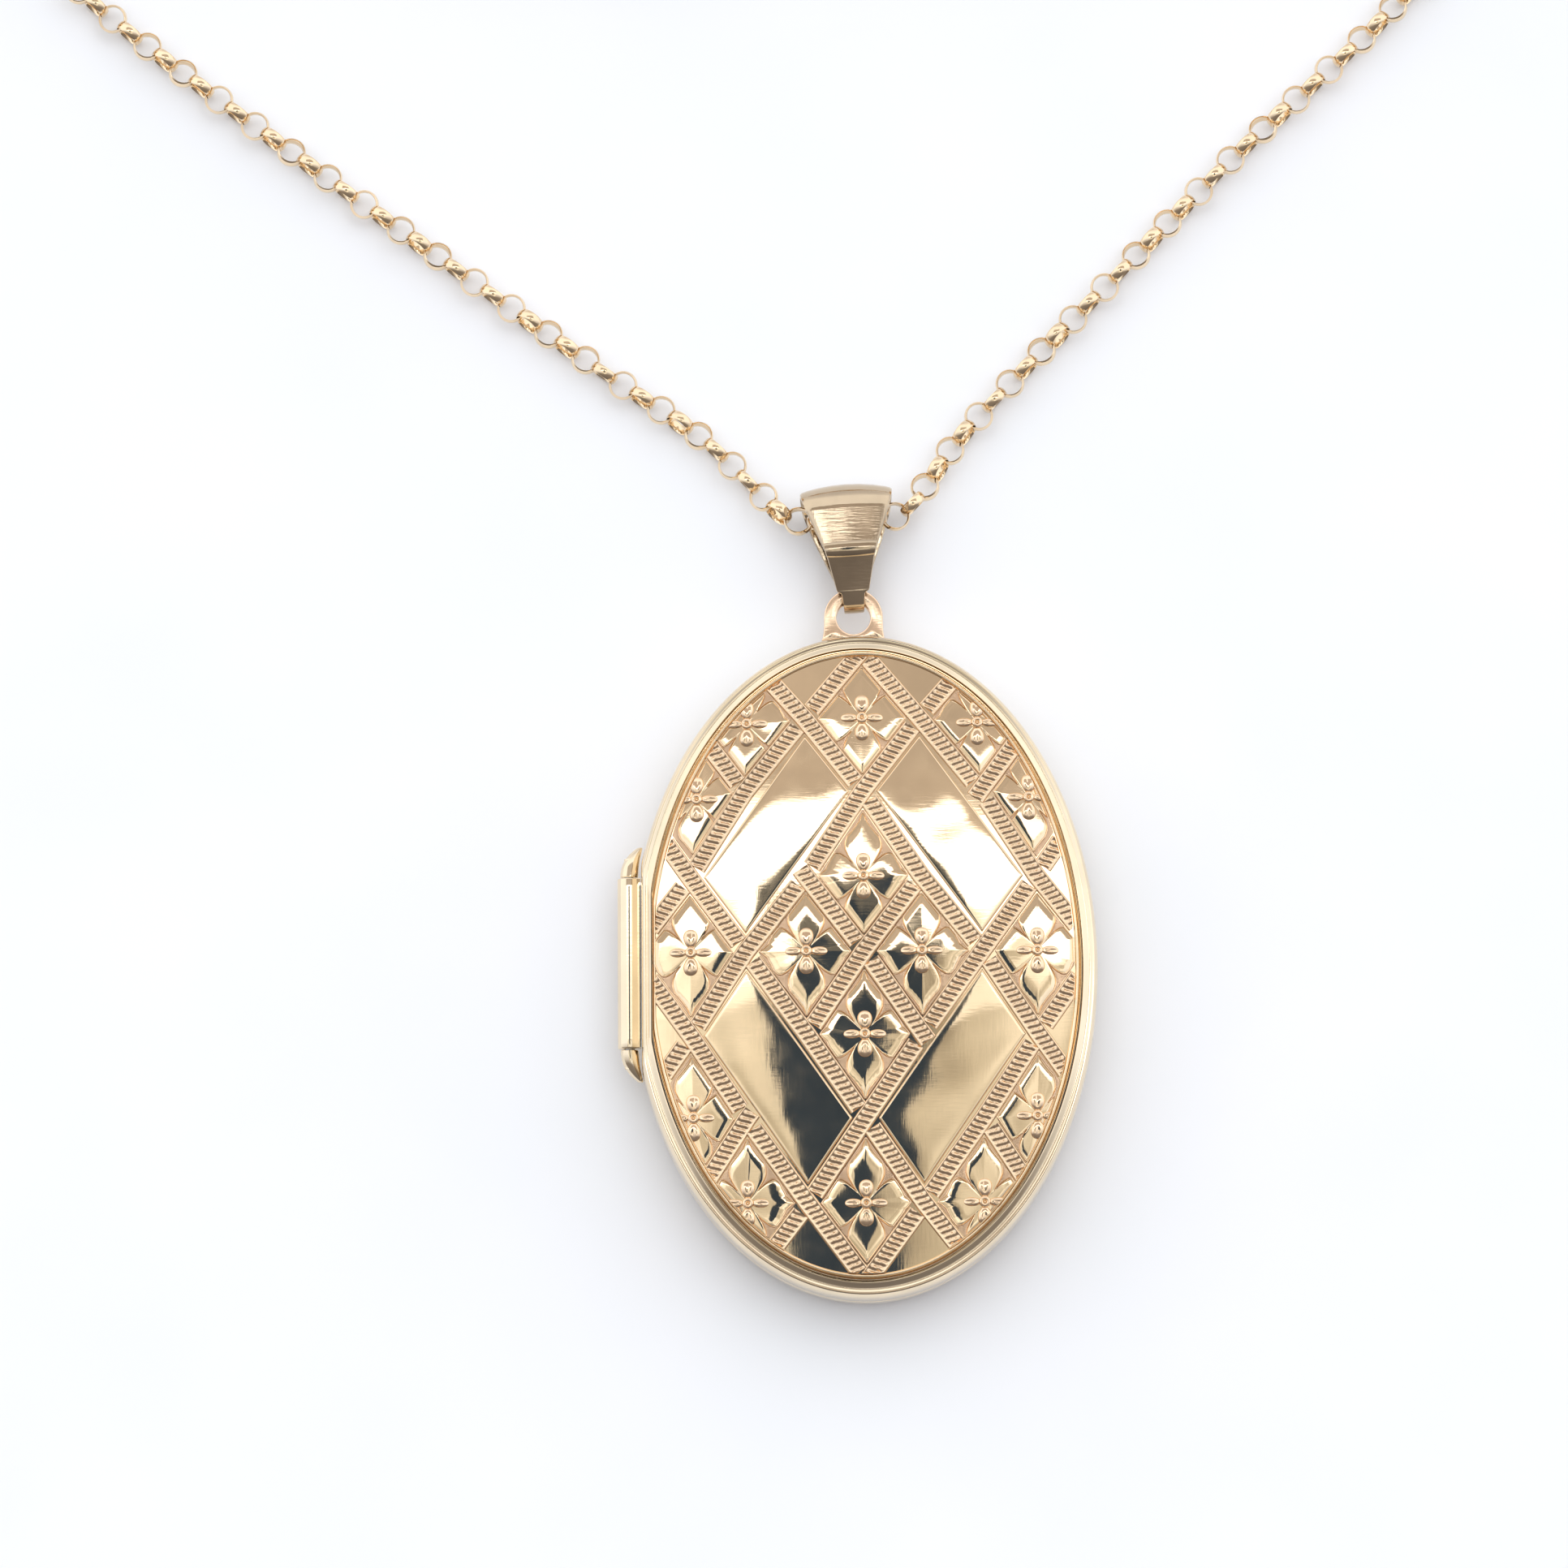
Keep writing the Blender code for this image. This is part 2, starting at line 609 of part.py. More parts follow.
def bolt_ring_spring(material):
    centre = Vector(CLASP)
    up = Vector((0.0, 0.0, 1.0))
    spots = []
    steps = SPRING_TURNS * SPRING_STEPS
    for i in range(steps + 1):
        angle = SPRING_START + (SPRING_END - SPRING_START) * i / steps
        turn = 2.0 * math.pi * i / SPRING_STEPS
        outward = Vector((math.cos(angle), math.sin(angle), 0.0))
        middle = centre + outward * CLASP_RADIUS
        around = outward * math.cos(turn) + up * math.sin(turn)
        spots.append((middle + around * SPRING_COIL_RADIUS, around))
    sections = []
    for i, (spot, around) in enumerate(spots):
        before = spots[max(i - 1, 0)][0]
        after = spots[min(i + 1, steps)][0]
        side = (after - before).normalized().cross(around).normalized()
        sections.append(circle(spot, around, side, SPRING_WIRE_RADIUS, 4))
    return add_object("bolt_ring_spring", loft("bolt_ring_spring", sections), material)


def clasp_rings(material):
    centre = Vector(CLASP)
    across = Vector((-1.0, 0.0, 0.0))
    side = Vector((0.0, 1.0, 0.0))
    up = Vector((0.0, 0.0, 1.0))
    eye = wire_ring(centre + across * EYE_DISTANCE, across, side, EYE_RADIUS, RING_WIRE, 20)
    add_object("bolt_ring_eye", loft("bolt_ring_eye", eye, closed=True), material)
    spot = centre + across * JUMP_RING_DISTANCE
    spot.z = JUMP_RING_Z
    jump = wire_ring(spot, across, up, JUMP_RING_RADIUS, RING_WIRE)
    add_object("chain_jump_ring", loft("chain_jump_ring", jump, closed=True), material)
    outward = Vector((math.cos(END_RING_ANGLE), math.sin(END_RING_ANGLE), 0.0))
    spot = centre + outward * END_RING_DISTANCE
    spot.z = END_RING_Z
    end = wire_ring(spot, outward, up, END_RING_RADIUS, END_RING_WIRE)
    add_object("chain_end_ring", loft("chain_end_ring", end, closed=True), material)


def build():
    clear_scene()
    rose = make_material("rose_gold", ROSE_GOLD, 0.22, 1.0)
    yellow = make_material("yellow_gold", YELLOW_GOLD, 0.18, 1.0)
    pale = make_material("pale_gold", PALE_GOLD, 0.20, 1.0)
    steel = make_material("spring_steel", STEEL, 0.30, 1.0)
    paper = make_material("card", PAPER, 0.85, 0.0)
    clear = make_material("clear_plastic", CLEAR, 0.08, 0.0, 0.25)
    case_halves(yellow, rose, pale)
    picture_holder("front", yellow, paper, clear)
    picture_holder("back", yellow, paper, clear)
    hinge(rose, steel)
    suspension_loop(rose)
    bail(yellow)
    chain(rose)
    bolt_ring_body(yellow)
    bolt_ring_trigger(yellow)
    bolt_ring_spring(steel)
    clasp_rings(yellow)


build()
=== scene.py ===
"""The looks of an oval engraved gold locket, lying on its back on its belcher chain.

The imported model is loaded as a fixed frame, and this script adds the camera, the light, the
materials and the fine pieces. Lengths are in millimetres in the model's own frame and are
turned into metres where a mesh is made. +X is the side that the cover opens from, +Y points
from the case to the bail and +Z comes out of the engraved face.
"""

import json
import math

import bpy
import numpy as np
from mathutils import Matrix, Vector


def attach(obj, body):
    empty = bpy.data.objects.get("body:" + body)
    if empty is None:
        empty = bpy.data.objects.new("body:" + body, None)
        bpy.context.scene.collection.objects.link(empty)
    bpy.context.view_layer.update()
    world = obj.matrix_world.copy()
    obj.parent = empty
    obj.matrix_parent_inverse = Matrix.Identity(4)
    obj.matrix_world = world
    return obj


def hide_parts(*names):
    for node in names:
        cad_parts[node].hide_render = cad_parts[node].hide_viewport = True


MILLIMETRE = 0.001

# The camera looks steeply down at the locket from below its lower end.
CAMERA_TARGET = (-4.36, 10.55, 2.4)
CAMERA_ELEVATION = 80.0
CAMERA_DISTANCE = 400.0
CAMERA_ROLL = -0.43
VIEW_WIDTH = 87.8
SENSOR_WIDTH = 36.0

# The case's outline and heights.
CASE_HALF_WIDTH = 13.0
CASE_HALF_LENGTH = 18.6
PARTING_Z = 2.8
HALF_SEAM = 0.03
FIT_GAP = 0.05
HINGE_FLAT_X = -12.35
HINGE_FLAT_FADE = 0.64
OVAL_POINTS = 320
BAND_WALL = 0.42
LEDGE_INSET = 1.30
LEDGE_TOP_Z = 4.48
LEDGE_BOTTOM_Z = 4.22
PLATE_INSET = 0.94
PLATE_LIP = 0.20
PLATE_THICKNESS = 0.40
BORDER_INSET = 1.22
BORDER_Z = 5.03
DOME_RISE = 0.55
BACK_CROWN = [(0.72, 0.0), (0.76, 0.02), (0.80, 0.06), (0.85, 0.13), (0.90, 0.24), (0.96, 0.41)]
BACK_EDGE_Z = 0.58
# The side band, as (inset, z) from its lower edge up the outside and down the inside.
BAND_PROFILE = [
    (0.05, PARTING_Z + HALF_SEAM), (0.01, 2.87), (0.0, 2.95), (0.0, 3.30), (0.0, 3.70),
    (0.01, 3.98), (0.03, 4.26), (0.07, 4.50), (0.13, 4.70), (0.20, 4.82), (0.26, 4.865),
    (0.31, 4.86), (0.41, 4.82), (0.49, 4.79), (0.54, 4.79), (0.60, 4.82), (0.76, 4.93),
    (0.81, 4.965), (0.85, 4.97), (0.87, 4.95), (0.88, 4.90), (0.89, LEDGE_TOP_Z),
    (LEDGE_INSET, LEDGE_TOP_Z), (LEDGE_INSET, LEDGE_BOTTOM_Z), (BAND_WALL, LEDGE_BOTTOM_Z),
    (BAND_WALL, PARTING_Z + HALF_SEAM),
]

# The picture holders inside.
RIM_INSET = BAND_WALL + FIT_GAP
RIM_WALL = 0.53
FRONT_RIM_BOTTOM_Z = 3.48
SNAP_RIM_TOP_Z = 3.40
HOLDER_INSET = 1.07
FRAME_TOP_Z = 3.70
FRAME_THICKNESS = 0.26
FRAME_WIDTH = 1.65

# The engraved lattice: the columns' x and the rows' y of its crossings. A crossing lies where
# the column's and the row's numbers add up to an even number.
COLUMNS = (0.0, 3.20, 6.55, 9.60, 12.90, 16.2)
ROWS = (-22.0, -17.7, -13.4, -8.7, -4.05, 0.6, 4.8, 9.6, 13.75, 17.6, 21.8)
LAST_COLUMN = 4
LAST_ROW = 5
CROSSING_ANGLE = math.radians(71.0)
ENGRAVED_HALF_WIDTH = 11.66
ENGRAVED_HALF_LENGTH = 17.26
FACE_SINK = 0.03
ENGRAVING_FOOT = -0.12

# Half of a band's section, from its middle outwards: the distance across, the rise over the
# dome and how much of the wriggle cuts' depth it has there.
HALF_BAND = [
    (0.0, 0.035, 1.0), (0.14, 0.035, 1.0), (0.27, 0.035, 1.0), (0.37, 0.020, 0.15),
    (0.41, 0.060, 0.0), (0.45, 0.085, 0.0), (0.50, 0.045, 0.0), (0.53, -0.02, 0.0),
]
OTHER_HALF = [(-across, rise, share) for across, rise, share in HALF_BAND[:0:-1]]
BAND_ACROSS, BAND_RISE, CUT_SHARE = np.array(OTHER_HALF + HALF_BAND).T
CUT_PITCH = 0.345
CUT_DEPTH = 0.068
CUT_STEPS = 7
CUT_BEND = 1.5
CUT_HALF_WIDTH = 0.40

# Gaps between a band's middle line and what stops at it, square to the band.
UNDER_BAND_GAP = 0.62
PANEL_MARGIN = 0.60
CELL_MARGIN = 0.56
# How far a band runs past its last crossing where a plain panel starts.
PLAIN_END_LENGTH = 0.50

# The polished panels: how deep they are sunk, and the height of their bevel and their crown.
PANEL_SINK = 0.02
PANEL_BEVEL = 0.06
PANEL_CROWN = 0.014

# The flower cells, each named by its column and row, and drawn on both sides of the middle.
FLOWER_CELLS = [(0, 3), (0, 1), (0, -1), (0, -3), (1, 0), (3, 0), (2, 3), (3, 2), (3, -2), (2, -3)]
FLOWER_LIMIT = 0.955
CELL_ANGLES = 240
# A quarter of the four-lobed ground round each flower: angle from the side lobe's axis and
# distance from the flower's centre.
LOBE_OUTLINE = [
    (0.0, 2.60), (3.0, 2.36), (10.0, 2.10), (22.0, 2.02), (32.0, 2.04), (40.0, 1.98), (45.0, 1.78),
    (48.5, 1.35), (51.0, 0.74), (53.5, 1.35), (56.5, 1.78), (61.0, 2.05), (68.0, 2.36),
    (74.0, 2.50), (80.0, 2.72), (86.0, 3.05), (90.0, 3.60),
]
# The bright edge round the ground: distance outwards from the lobes, and rise over the dome.
EDGE_WIDTH = 0.10
EDGE_PROFILE = [
    (0.0, ENGRAVING_FOOT), (0.0, 0.02), (0.025, 0.075), (0.055, 0.085), (0.085, 0.06),
    (EDGE_WIDTH, 0.02), (EDGE_WIDTH, ENGRAVING_FOOT),
]
# The matt corners between that edge and the bands: share of their width, and rise.
CORNER_INSET = 0.08
CORNER_PROFILE = [
    (0.0, ENGRAVING_FOOT), (0.0, 0.02), (0.3, 0.03), (0.7, 0.03), (1.0, 0.02), (1.0, ENGRAVING_FOOT),
]
# A flower's two pairs of petals: angle of the first, distance from the flower's centre, half
# length, half width, height, crease and flare.
PETAL_PAIRS = [
    (90.0, 0.76, 0.54, 0.40, 0.21, 0.35, 0.20),
    (0.0, 0.68, 0.50, 0.25, 0.18, 0.50, 0.10),
]
PETAL_SHARES = (1.0, 0.97, 0.90, 0.78, 0.62, 0.44, 0.25, 0.06)
PETAL_BASE = 0.01
FURROW_WIDTH = 0.28
# The ring in a flower's middle: radius and rise over the dome.
FLOWER_EYE = [
    (0.31, -0.10), (0.31, 0.15), (0.29, 0.21), (0.24, 0.25), (0.18, 0.26), (0.12, 0.23),
    (0.09, 0.15), (0.06, 0.08), (0.02, 0.07),
]

# The hinge: the cover's long knuckle with its leaf, and the back's two tapered ones.
HINGE_RADIUS = 0.65
HINGE_X = HINGE_FLAT_X - FIT_GAP - HINGE_RADIUS
HINGE_BORE = 0.31
HINGE_LOW_Y = -4.43
HINGE_HIGH_Y = 5.13
HINGE_END = [(0.0, 0.60), (0.02, 0.635), (0.06, HINGE_RADIUS)]
LEAF_LOW = 0.10
LEAF_HIGH = 0.50
KNUCKLE_GAP = 0.08
KNUCKLE_LENGTH = 1.75
# A tapered knuckle: share of its length, shift towards the case, drop and radius.
KNUCKLE_PROFILE = [
    (0.60, 0.0, 0.0, 0.27), (0.0, 0.0, 0.0, 0.27), (0.0, 0.0, 0.0, 0.47), (0.02, 0.0, 0.0, 0.50),
    (0.15, 0.02, 0.01, 0.50), (0.30, 0.05, 0.02, 0.49), (0.45, 0.11, 0.04, 0.46),
    (0.60, 0.20, 0.08, 0.41), (0.75, 0.33, 0.13, 0.34), (0.88, 0.47, 0.19, 0.25),
    (0.97, 0.58, 0.24, 0.17), (1.0, 0.62, 0.25, 0.10),
]

# The loop on the case's top.
LOOP_X = -0.39
LOOP_HOLE_Y = 20.0
LOOP_HALF_WIDTH = 1.66
LOOP_HOLE_RADIUS = 0.95
LOOP_LOW_Z = 1.80
LOOP_HIGH_Z = 2.60
LOOP_ROOT_Y = 18.66
LOOP_FLARE = 0.14
LOOP_SOFT_EDGE = 0.10

# The bail.
BAIL_PIVOT_Y = 21.3
BAIL_TILT = math.radians(3.5)
BAIL_THICKNESS = 0.32
BAIL_BOW = 0.013
BAIL_ACROSS = np.array((-1.0, -0.96, -0.85, -0.6, -0.3, 0.0, 0.3, 0.6, 0.85, 0.96, 1.0))
# The strap's middle line from the bottom fold, up the front, over the top and down the back:
# (y, z, width, soft), where soft is 1 on the curved stretches and 0 at the flat facets' ends.
BAIL_STRAP = [
    (20.48, 2.20, 1.14, 1), (20.70, 2.78, 1.18, 1), (21.28, 3.03, 1.32, 0),
    (21.42, 3.07, 1.80, 0), (21.50, 3.09, 1.86, 0), (23.36, 3.69, 2.72, 0), (23.46, 3.80, 2.81, 1),
    (23.66, 3.87, 2.94, 1), (23.90, 3.84, 3.10, 1), (24.02, 3.76, 3.19, 0),
    (26.10, 3.60, 4.72, 0), (26.56, 3.42, 4.98, 1), (26.90, 3.12, 5.12, 1),
    (27.11, 2.72, 5.18, 1), (27.20, 2.25, 5.20, 1), (27.15, 1.60, 5.18, 1),
    (26.95, 1.00, 5.12, 1), (26.50, 0.50, 4.96, 1), (25.80, 0.24, 4.50, 1),
    (24.70, 0.20, 3.70, 1), (23.50, 0.24, 2.70, 1), (22.40, 0.72, 1.86, 1),
    (21.30, 1.38, 1.18, 1), (20.72, 1.66, 1.06, 1),
]

# The chain, a free cord of round links.
LINK_PITCH = 1.30
LINK_RADIUS = 0.735
LINK_HALF_WIDTH = 0.29
LINK_CROWN = 0.095
LINK_HOLLOW = 0.065
LINK_STEPS = 28
LINK_SIDES = 10
CORD_STEP = 0.8
COIL_CENTRE = (-8.5, 75.0)
COIL_LOW_Z = 0.86
COIL_HIGH_Z = 2.48
COIL_STEP = 3.4
LEFT_COIL_RADIUS = 9.5
RIGHT_COIL_RADIUS = 11.2
LEFT_RUN = [
    (-0.86, 25.90, 1.80), (-2.40, 25.70, 1.80), (-4.10, 25.95, 1.65), (-6.00, 27.90, 1.05),
    (-9.00, 30.85, 0.86),
    (-14.60, 34.75, 0.86), (-21.30, 39.60, 0.86), (-28.30, 44.75, 0.86), (-35.60, 50.20, 0.86),
    (-42.00, 55.20, 0.86), (-45.40, 58.60, 0.86), (-46.40, 62.60, 0.86), (-43.80, 65.90, 0.86),
    (-39.20, 65.80, 0.86), (-31.00, 62.60, 0.86), (-22.00, 60.50, 0.86), (-12.00, 59.90, 0.86),
    (-4.60, 60.60, 0.86), (-0.40, 63.00, 0.86), (0.80, 65.80, 0.86),
]
RIGHT_RUN = [
    (-0.54, 25.90, 1.80), (0.90, 25.82, 1.80), (2.60, 26.25, 1.60), (4.20, 28.45, 1.05),
    (6.20, 31.20, 0.86),
    (10.40, 35.60, 0.86), (15.80, 41.10, 0.86), (21.30, 46.70, 0.86), (26.60, 51.60, 0.86),
    (30.40, 55.20, 0.86), (33.50, 58.90, 0.86), (34.20, 63.00, 0.86), (31.40, 66.10, 0.86),
    (27.00, 66.00, 0.86), (18.50, 63.00, 0.86), (11.50, 61.10, 0.86), (6.90, 61.60, 0.86),
    (3.70, 64.10, 0.86), (2.76, 67.60, 0.86),
]
LEFT_TAIL = [
    (5.20, 72.65, 2.05), (7.60, 74.05, 1.25), (9.90, 75.30, 0.88), (12.30, 76.45, 0.86),
    (14.85, 77.00, 0.86),
]
RIGHT_TAIL = [
    (5.00, 70.35, 2.10), (7.60, 71.75, 1.30), (10.00, 72.55, 0.88), (12.60, 72.70, 0.86),
    (15.30, 72.95, 0.86), (17.58, 74.08, 0.86),
]

# The bolt ring clasp: a hollow ring with a mouth, which a bolt on a spring closes.
CLASP = np.array((20.5, 77.0, 1.10))
CLASP_RADIUS = 2.30
CLASP_TUBE = 0.55
CLASP_BORE = 0.37
CLASP_STEPS = 73
MOUTH_END = math.radians(20.0)
MOUTH_START = math.radians(75.0)
SLOT_START = math.radians(74.0)
SLOT_END = math.radians(138.0)
SLOT_HALF_WIDTH = 0.19
BOLT_TIP = math.radians(15.0)
BOLT_TAIL = math.radians(115.0)
BOLT_RADIUS = 0.29
BOLT_STEPS = 40
THUMB_ANGLE = math.radians(82.0)
THUMB_HALF_ANGLE = math.radians(2.6)
THUMB_HALF_WIDTH = 0.13
THUMB_REACH = CLASP_RADIUS + 0.94
KNOB_RADIUS = 0.15
SPRING_START = math.radians(118.0)
SPRING_END = math.radians(285.0)
SPRING_TURNS = 10
SPRING_STEPS = 16
SPRING_RADIUS = 0.22
SPRING_WIRE = 0.05
# The rings beside the clasp: name, CAD node, direction from the clasp's centre, distance, height,
# radius, wire radius and whether the ring lies flat.
CLASP_RINGS = [
    ("clasp_eye", "bolt_ring_eye", 180.0, 3.62, 1.10, 0.55, 0.17, True),
    ("jump_ring", "chain_jump_ring", 180.0, 4.47, 1.04, 0.85, 0.17, False),
    ("end_ring", "chain_end_ring", 225.0, 2.50, 1.47, 1.25, 0.20, False),
]

# The studio: a pale room, a lamp and cards over the table that are only seen reflected.
# Each card has its name, height, strength, tones and outline, in millimetres.
FLOOR_HALF_SIZE = 900.0
ROOM_STRENGTH = 1.30
LAMP_POWER = 3.0
LAMP_SIZE = 1.2
STUDIO_CARDS = [
    ("dark_card", 597.0, 1.0, [(0.040, 0.062, 0.100)], [
        (-44, -70), (28, -70), (34, 30), (50, 70), (58, 92), (20, 96), (-20, 90), (-58, 94),
        (-54, 72), (-44, 30),
    ]),
    ("grey_card", 598.0, 1.0, [(0.05, 0.06, 0.08), (0.12, 0.13, 0.14), (0.34, 0.34, 0.33)], [
        (-58, 90), (-20, 84), (20, 90), (58, 88), (64, 112), (24, 126), (-16, 124), (-58, 114),
    ]),
    ("bright_card", 600.0, 2.8, [(1.0, 1.0, 1.0)], [
        (-280, 100), (280, 100), (280, 152), (60, 148), (-40, 156), (-280, 150),
    ]),
    ("cream_card", 601.0, 1.0, [(1.1, 1.08, 1.02), (1.6, 1.6, 1.55)], [
        (-280, 78), (280, 78), (280, 102), (-280, 102),
    ]),
    ("beige_card", 602.0, 1.0, [(0.52, 0.47, 0.43), (0.66, 0.59, 0.54)], [
        (-340, 150), (340, 150), (340, 460), (-340, 460),
    ]),
    ("olive_card", 604.0, 1.0, [
        (0.45, 0.42, 0.36), (0.66, 0.63, 0.55), (1.0, 0.98, 0.90), (1.4, 1.4, 1.35),
    ], [(-230, -200), (230, -200), (230, 80), (-230, 80)]),
]

UP = np.array((0.0, 0.0, 1.0))

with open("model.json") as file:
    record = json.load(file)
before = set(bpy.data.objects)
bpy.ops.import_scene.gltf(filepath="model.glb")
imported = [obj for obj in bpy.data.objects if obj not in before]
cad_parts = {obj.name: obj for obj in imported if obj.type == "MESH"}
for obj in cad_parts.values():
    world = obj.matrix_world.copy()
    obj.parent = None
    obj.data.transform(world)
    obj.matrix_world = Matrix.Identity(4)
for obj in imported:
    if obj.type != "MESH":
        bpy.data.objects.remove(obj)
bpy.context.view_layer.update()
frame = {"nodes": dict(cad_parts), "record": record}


# ---- meshes

def at(x, y, z):
    """A place given in millimetres, in metres."""
    return Vector((x, y, z)) * MILLIMETRE


def round_angles(count, offset=0.0):
    """Even angles round a full turn, moved on by a share of one step."""
    return 2.0 * np.pi * (np.arange(count) + offset) / count


def bearing(angle):
    """The level direction at this angle from +X towards +Y."""
    return np.array((math.cos(angle), math.sin(angle), 0.0))


def curve_point(a, b, c, d, t):
    """The point at share t between b and c on a Catmull-Rom curve."""
    return 0.5 * (2.0 * b + (c - a) * t + (2.0 * a - 5.0 * b + 4.0 * c - d) * t ** 2
                  + (3.0 * b - a - 3.0 * c + d) * t ** 3)


def new_object(name, data):
    """A new object in the scene."""
    item = bpy.data.objects.new(name, data)
    bpy.context.collection.objects.link(item)
    return item


def loft_faces(rings, size, closed):
    """Quads between rings of points, and two caps unless the row of rings is closed."""
    ring = np.arange(rings if closed else rings - 1)[:, None]
    spot = np.arange(size)[None, :]
    after = (ring + 1) % rings
    beside = (spot + 1) % size
    corners = (ring * size + spot, ring * size + beside, after * size + beside, after * size + spot)
    quads = np.stack(corners, axis=-1).reshape(-1, 4)
    caps = [] if closed else [np.arange(size)[::-1], np.arange(size) + (rings - 1) * size]
    return quads, caps


def signed_volume(points, quads, caps):
    """Six times the volume inside the faces, below zero if they face inwards."""
    points = points - points.mean(axis=0)
    a, b, c, d = (points[quads[:, i]] for i in range(4))
    volume = np.einsum("ij,ij->", a, np.cross(b, c)) + np.einsum("ij,ij->", a, np.cross(c, d))
    for cap in caps:
        rim = points[cap]
        volume += np.einsum("j,ij->", rim[0], np.cross(rim[1:-1], rim[2:]))
    return volume


class Parts:
    """Closed lofts gathered into one mesh, each with its faces turned outwards."""

    def __init__(self):
        self.points = []
        self.faces = []
        self.count = 0

    def add(self, sections, closed=False):
        sections = np.asarray(sections, float)
        rings, size = sections.shape[:2]
        flat = sections.reshape(-1, 3)
        quads, caps = loft_faces(rings, size, closed)
        if signed_volume(flat, quads, caps) < 0.0:
            quads = quads[:, ::-1]
            caps = [cap[::-1] for cap in caps]
        self.points.append(flat)
        self.faces += (quads + self.count).tolist()
        self.faces += [(cap + self.count).tolist() for cap in caps]
        self.count += len(flat)

    def build(self, name, material, sharp_angle=40.0):
        mesh = bpy.data.meshes.new(name)
        points = np.concatenate(self.points) * MILLIMETRE
        mesh.from_pydata(points.tolist(), [], self.faces)
        mesh.materials.append(material)
        mesh.shade_smooth()
        mesh.set_sharp_from_angle(angle=math.radians(sharp_angle))
        return new_object(name, mesh)


def loft(name, sections, material, closed=False, sharp_angle=40.0):
    """One mesh through a row of sections, which is capped unless it closes on itself."""
    parts = Parts()
    parts.add(sections, closed)
    return parts.build(name, material, sharp_angle)


def piece(item, body, slot_name, *nodes):
    """Rides a new piece on a body, in the place of some CAD nodes."""
    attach(item, body)
    if nodes:
        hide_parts(*nodes)
    return item


# ---- materials

def new_material(name, base, roughness, metallic):
    """A plain material, with its node tree and shader."""
    material = bpy.data.materials.new(name)
    material.use_nodes = True
    shader = material.node_tree.nodes["Principled BSDF"]
    shader.inputs["Base Color"].default_value = (*base, 1.0)
    shader.inputs["Roughness"].default_value = roughness
    shader.inputs["Metallic"].default_value = metallic
    return material, material.node_tree, shader


def add_node(tree, kind, **values):
    """A new shader node with these input values."""
    node = tree.nodes.new("ShaderNode" + kind)
    for name, value in values.items():
        node.inputs[name.replace("_", " ")].default_value = value
    return node


def noise(tree, scale, detail, stretch=(1.0, 1.0, 1.0), turn=0.0):
    """A noise texture over the object's own coordinates, in cycles a metre."""
    place = add_node(tree, "TexCoord")
    mapping = add_node(tree, "Mapping", Scale=stretch, Rotation=(0.0, 0.0, turn))
    texture = add_node(tree, "TexNoise", Scale=scale, Detail=detail)
    tree.links.new(place.outputs["Object"], mapping.inputs["Vector"])
    tree.links.new(mapping.outputs["Vector"], texture.inputs["Vector"])
    return texture.outputs["Fac"]


def ramp(tree, value, stops):
    """A value turned into a colour between these (value, colour) stops."""
    node = add_node(tree, "ValToRGB")
    elements = node.color_ramp.elements
    while len(elements) < len(stops):
        elements.new(0.5)
    for element, (position, colour) in zip(elements, stops):
        element.position = position
        element.color = (*colour, 1.0)
    tree.links.new(value, node.inputs["Fac"])
    return node.outputs["Color"]


def map_range(tree, value, low, high):
    """A noise value, mostly between 0.3 and 0.7, spread between low and high."""
    node = add_node(tree, "MapRange", From_Min=0.3, From_Max=0.7, To_Min=low, To_Max=high)
    tree.links.new(value, node.inputs["Value"])
    return node.outputs["Result"]


def add_bump(tree, shader, heights, distance):
    """Bump from several (value, strength) pairs, one after another."""
    normal = None
    for value, strength in heights:
        bump = add_node(tree, "Bump", Strength=strength, Distance=distance)
        tree.links.new(value, bump.inputs["Height"])
        if normal is not None:
            tree.links.new(normal, bump.inputs["Normal"])
        normal = bump.outputs["Normal"]
    tree.links.new(normal, shader.inputs["Normal"])


def gold(name, base, roughness, tone, scratches, ripple):
    """Gold with handling marks: a cloudy tone, uneven polish, fine scratches and a soft ripple."""
    material, tree, shader = new_material(name, base, roughness, 1.0)
    shade = [min(1.0, c * (1.0 - tone)) for c in base]
    light = [min(1.0, c * (1.0 + 0.6 * tone)) for c in base]
    cloud = noise(tree, 320.0, 3.0)
    colour = ramp(tree, cloud, [(0.35, shade), (0.68, light)])
    tree.links.new(colour, shader.inputs["Base Color"])
    wear = noise(tree, 900.0, 6.0)
    rough = map_range(tree, wear, roughness * 0.7, roughness * 1.5)
    tree.links.new(rough, shader.inputs["Roughness"])
    fine = noise(tree, 900.0, 2.0, (1.0, 9.0, 1.0), 0.5)
    crossing = noise(tree, 800.0, 2.0, (8.0, 1.0, 1.0), 0.3)
    wave = noise(tree, 260.0, 1.0)
    marks = [(wave, ripple), (fine, scratches), (crossing, scratches)]
    add_bump(tree, shader, marks, 0.00002)
    return material


def drawn_steel():
    """Plain drawn steel, streaked along its wire."""
    material, tree, shader = new_material("spring_steel", (0.62, 0.62, 0.63), 0.28, 1.0)
    drawn = noise(tree, 2500.0, 3.0, (1.0, 0.1, 1.0))
    tree.links.new(map_range(tree, drawn, 0.20, 0.40), shader.inputs["Roughness"])
    return material


def paper_card():
    """Matt card with a faint grain."""
    material, tree, shader = new_material("paper_card", (0.88, 0.85, 0.78), 0.85, 0.0)
    fibres = noise(tree, 3000.0, 8.0, (1.0, 2.5, 1.0), 0.4)
    tone = ramp(tree, fibres, [(0.3, (0.82, 0.79, 0.71)), (0.7, (0.92, 0.90, 0.84))])
    tree.links.new(tone, shader.inputs["Base Color"])
    add_bump(tree, shader, [(fibres, 0.5)], 0.00003)
    return material


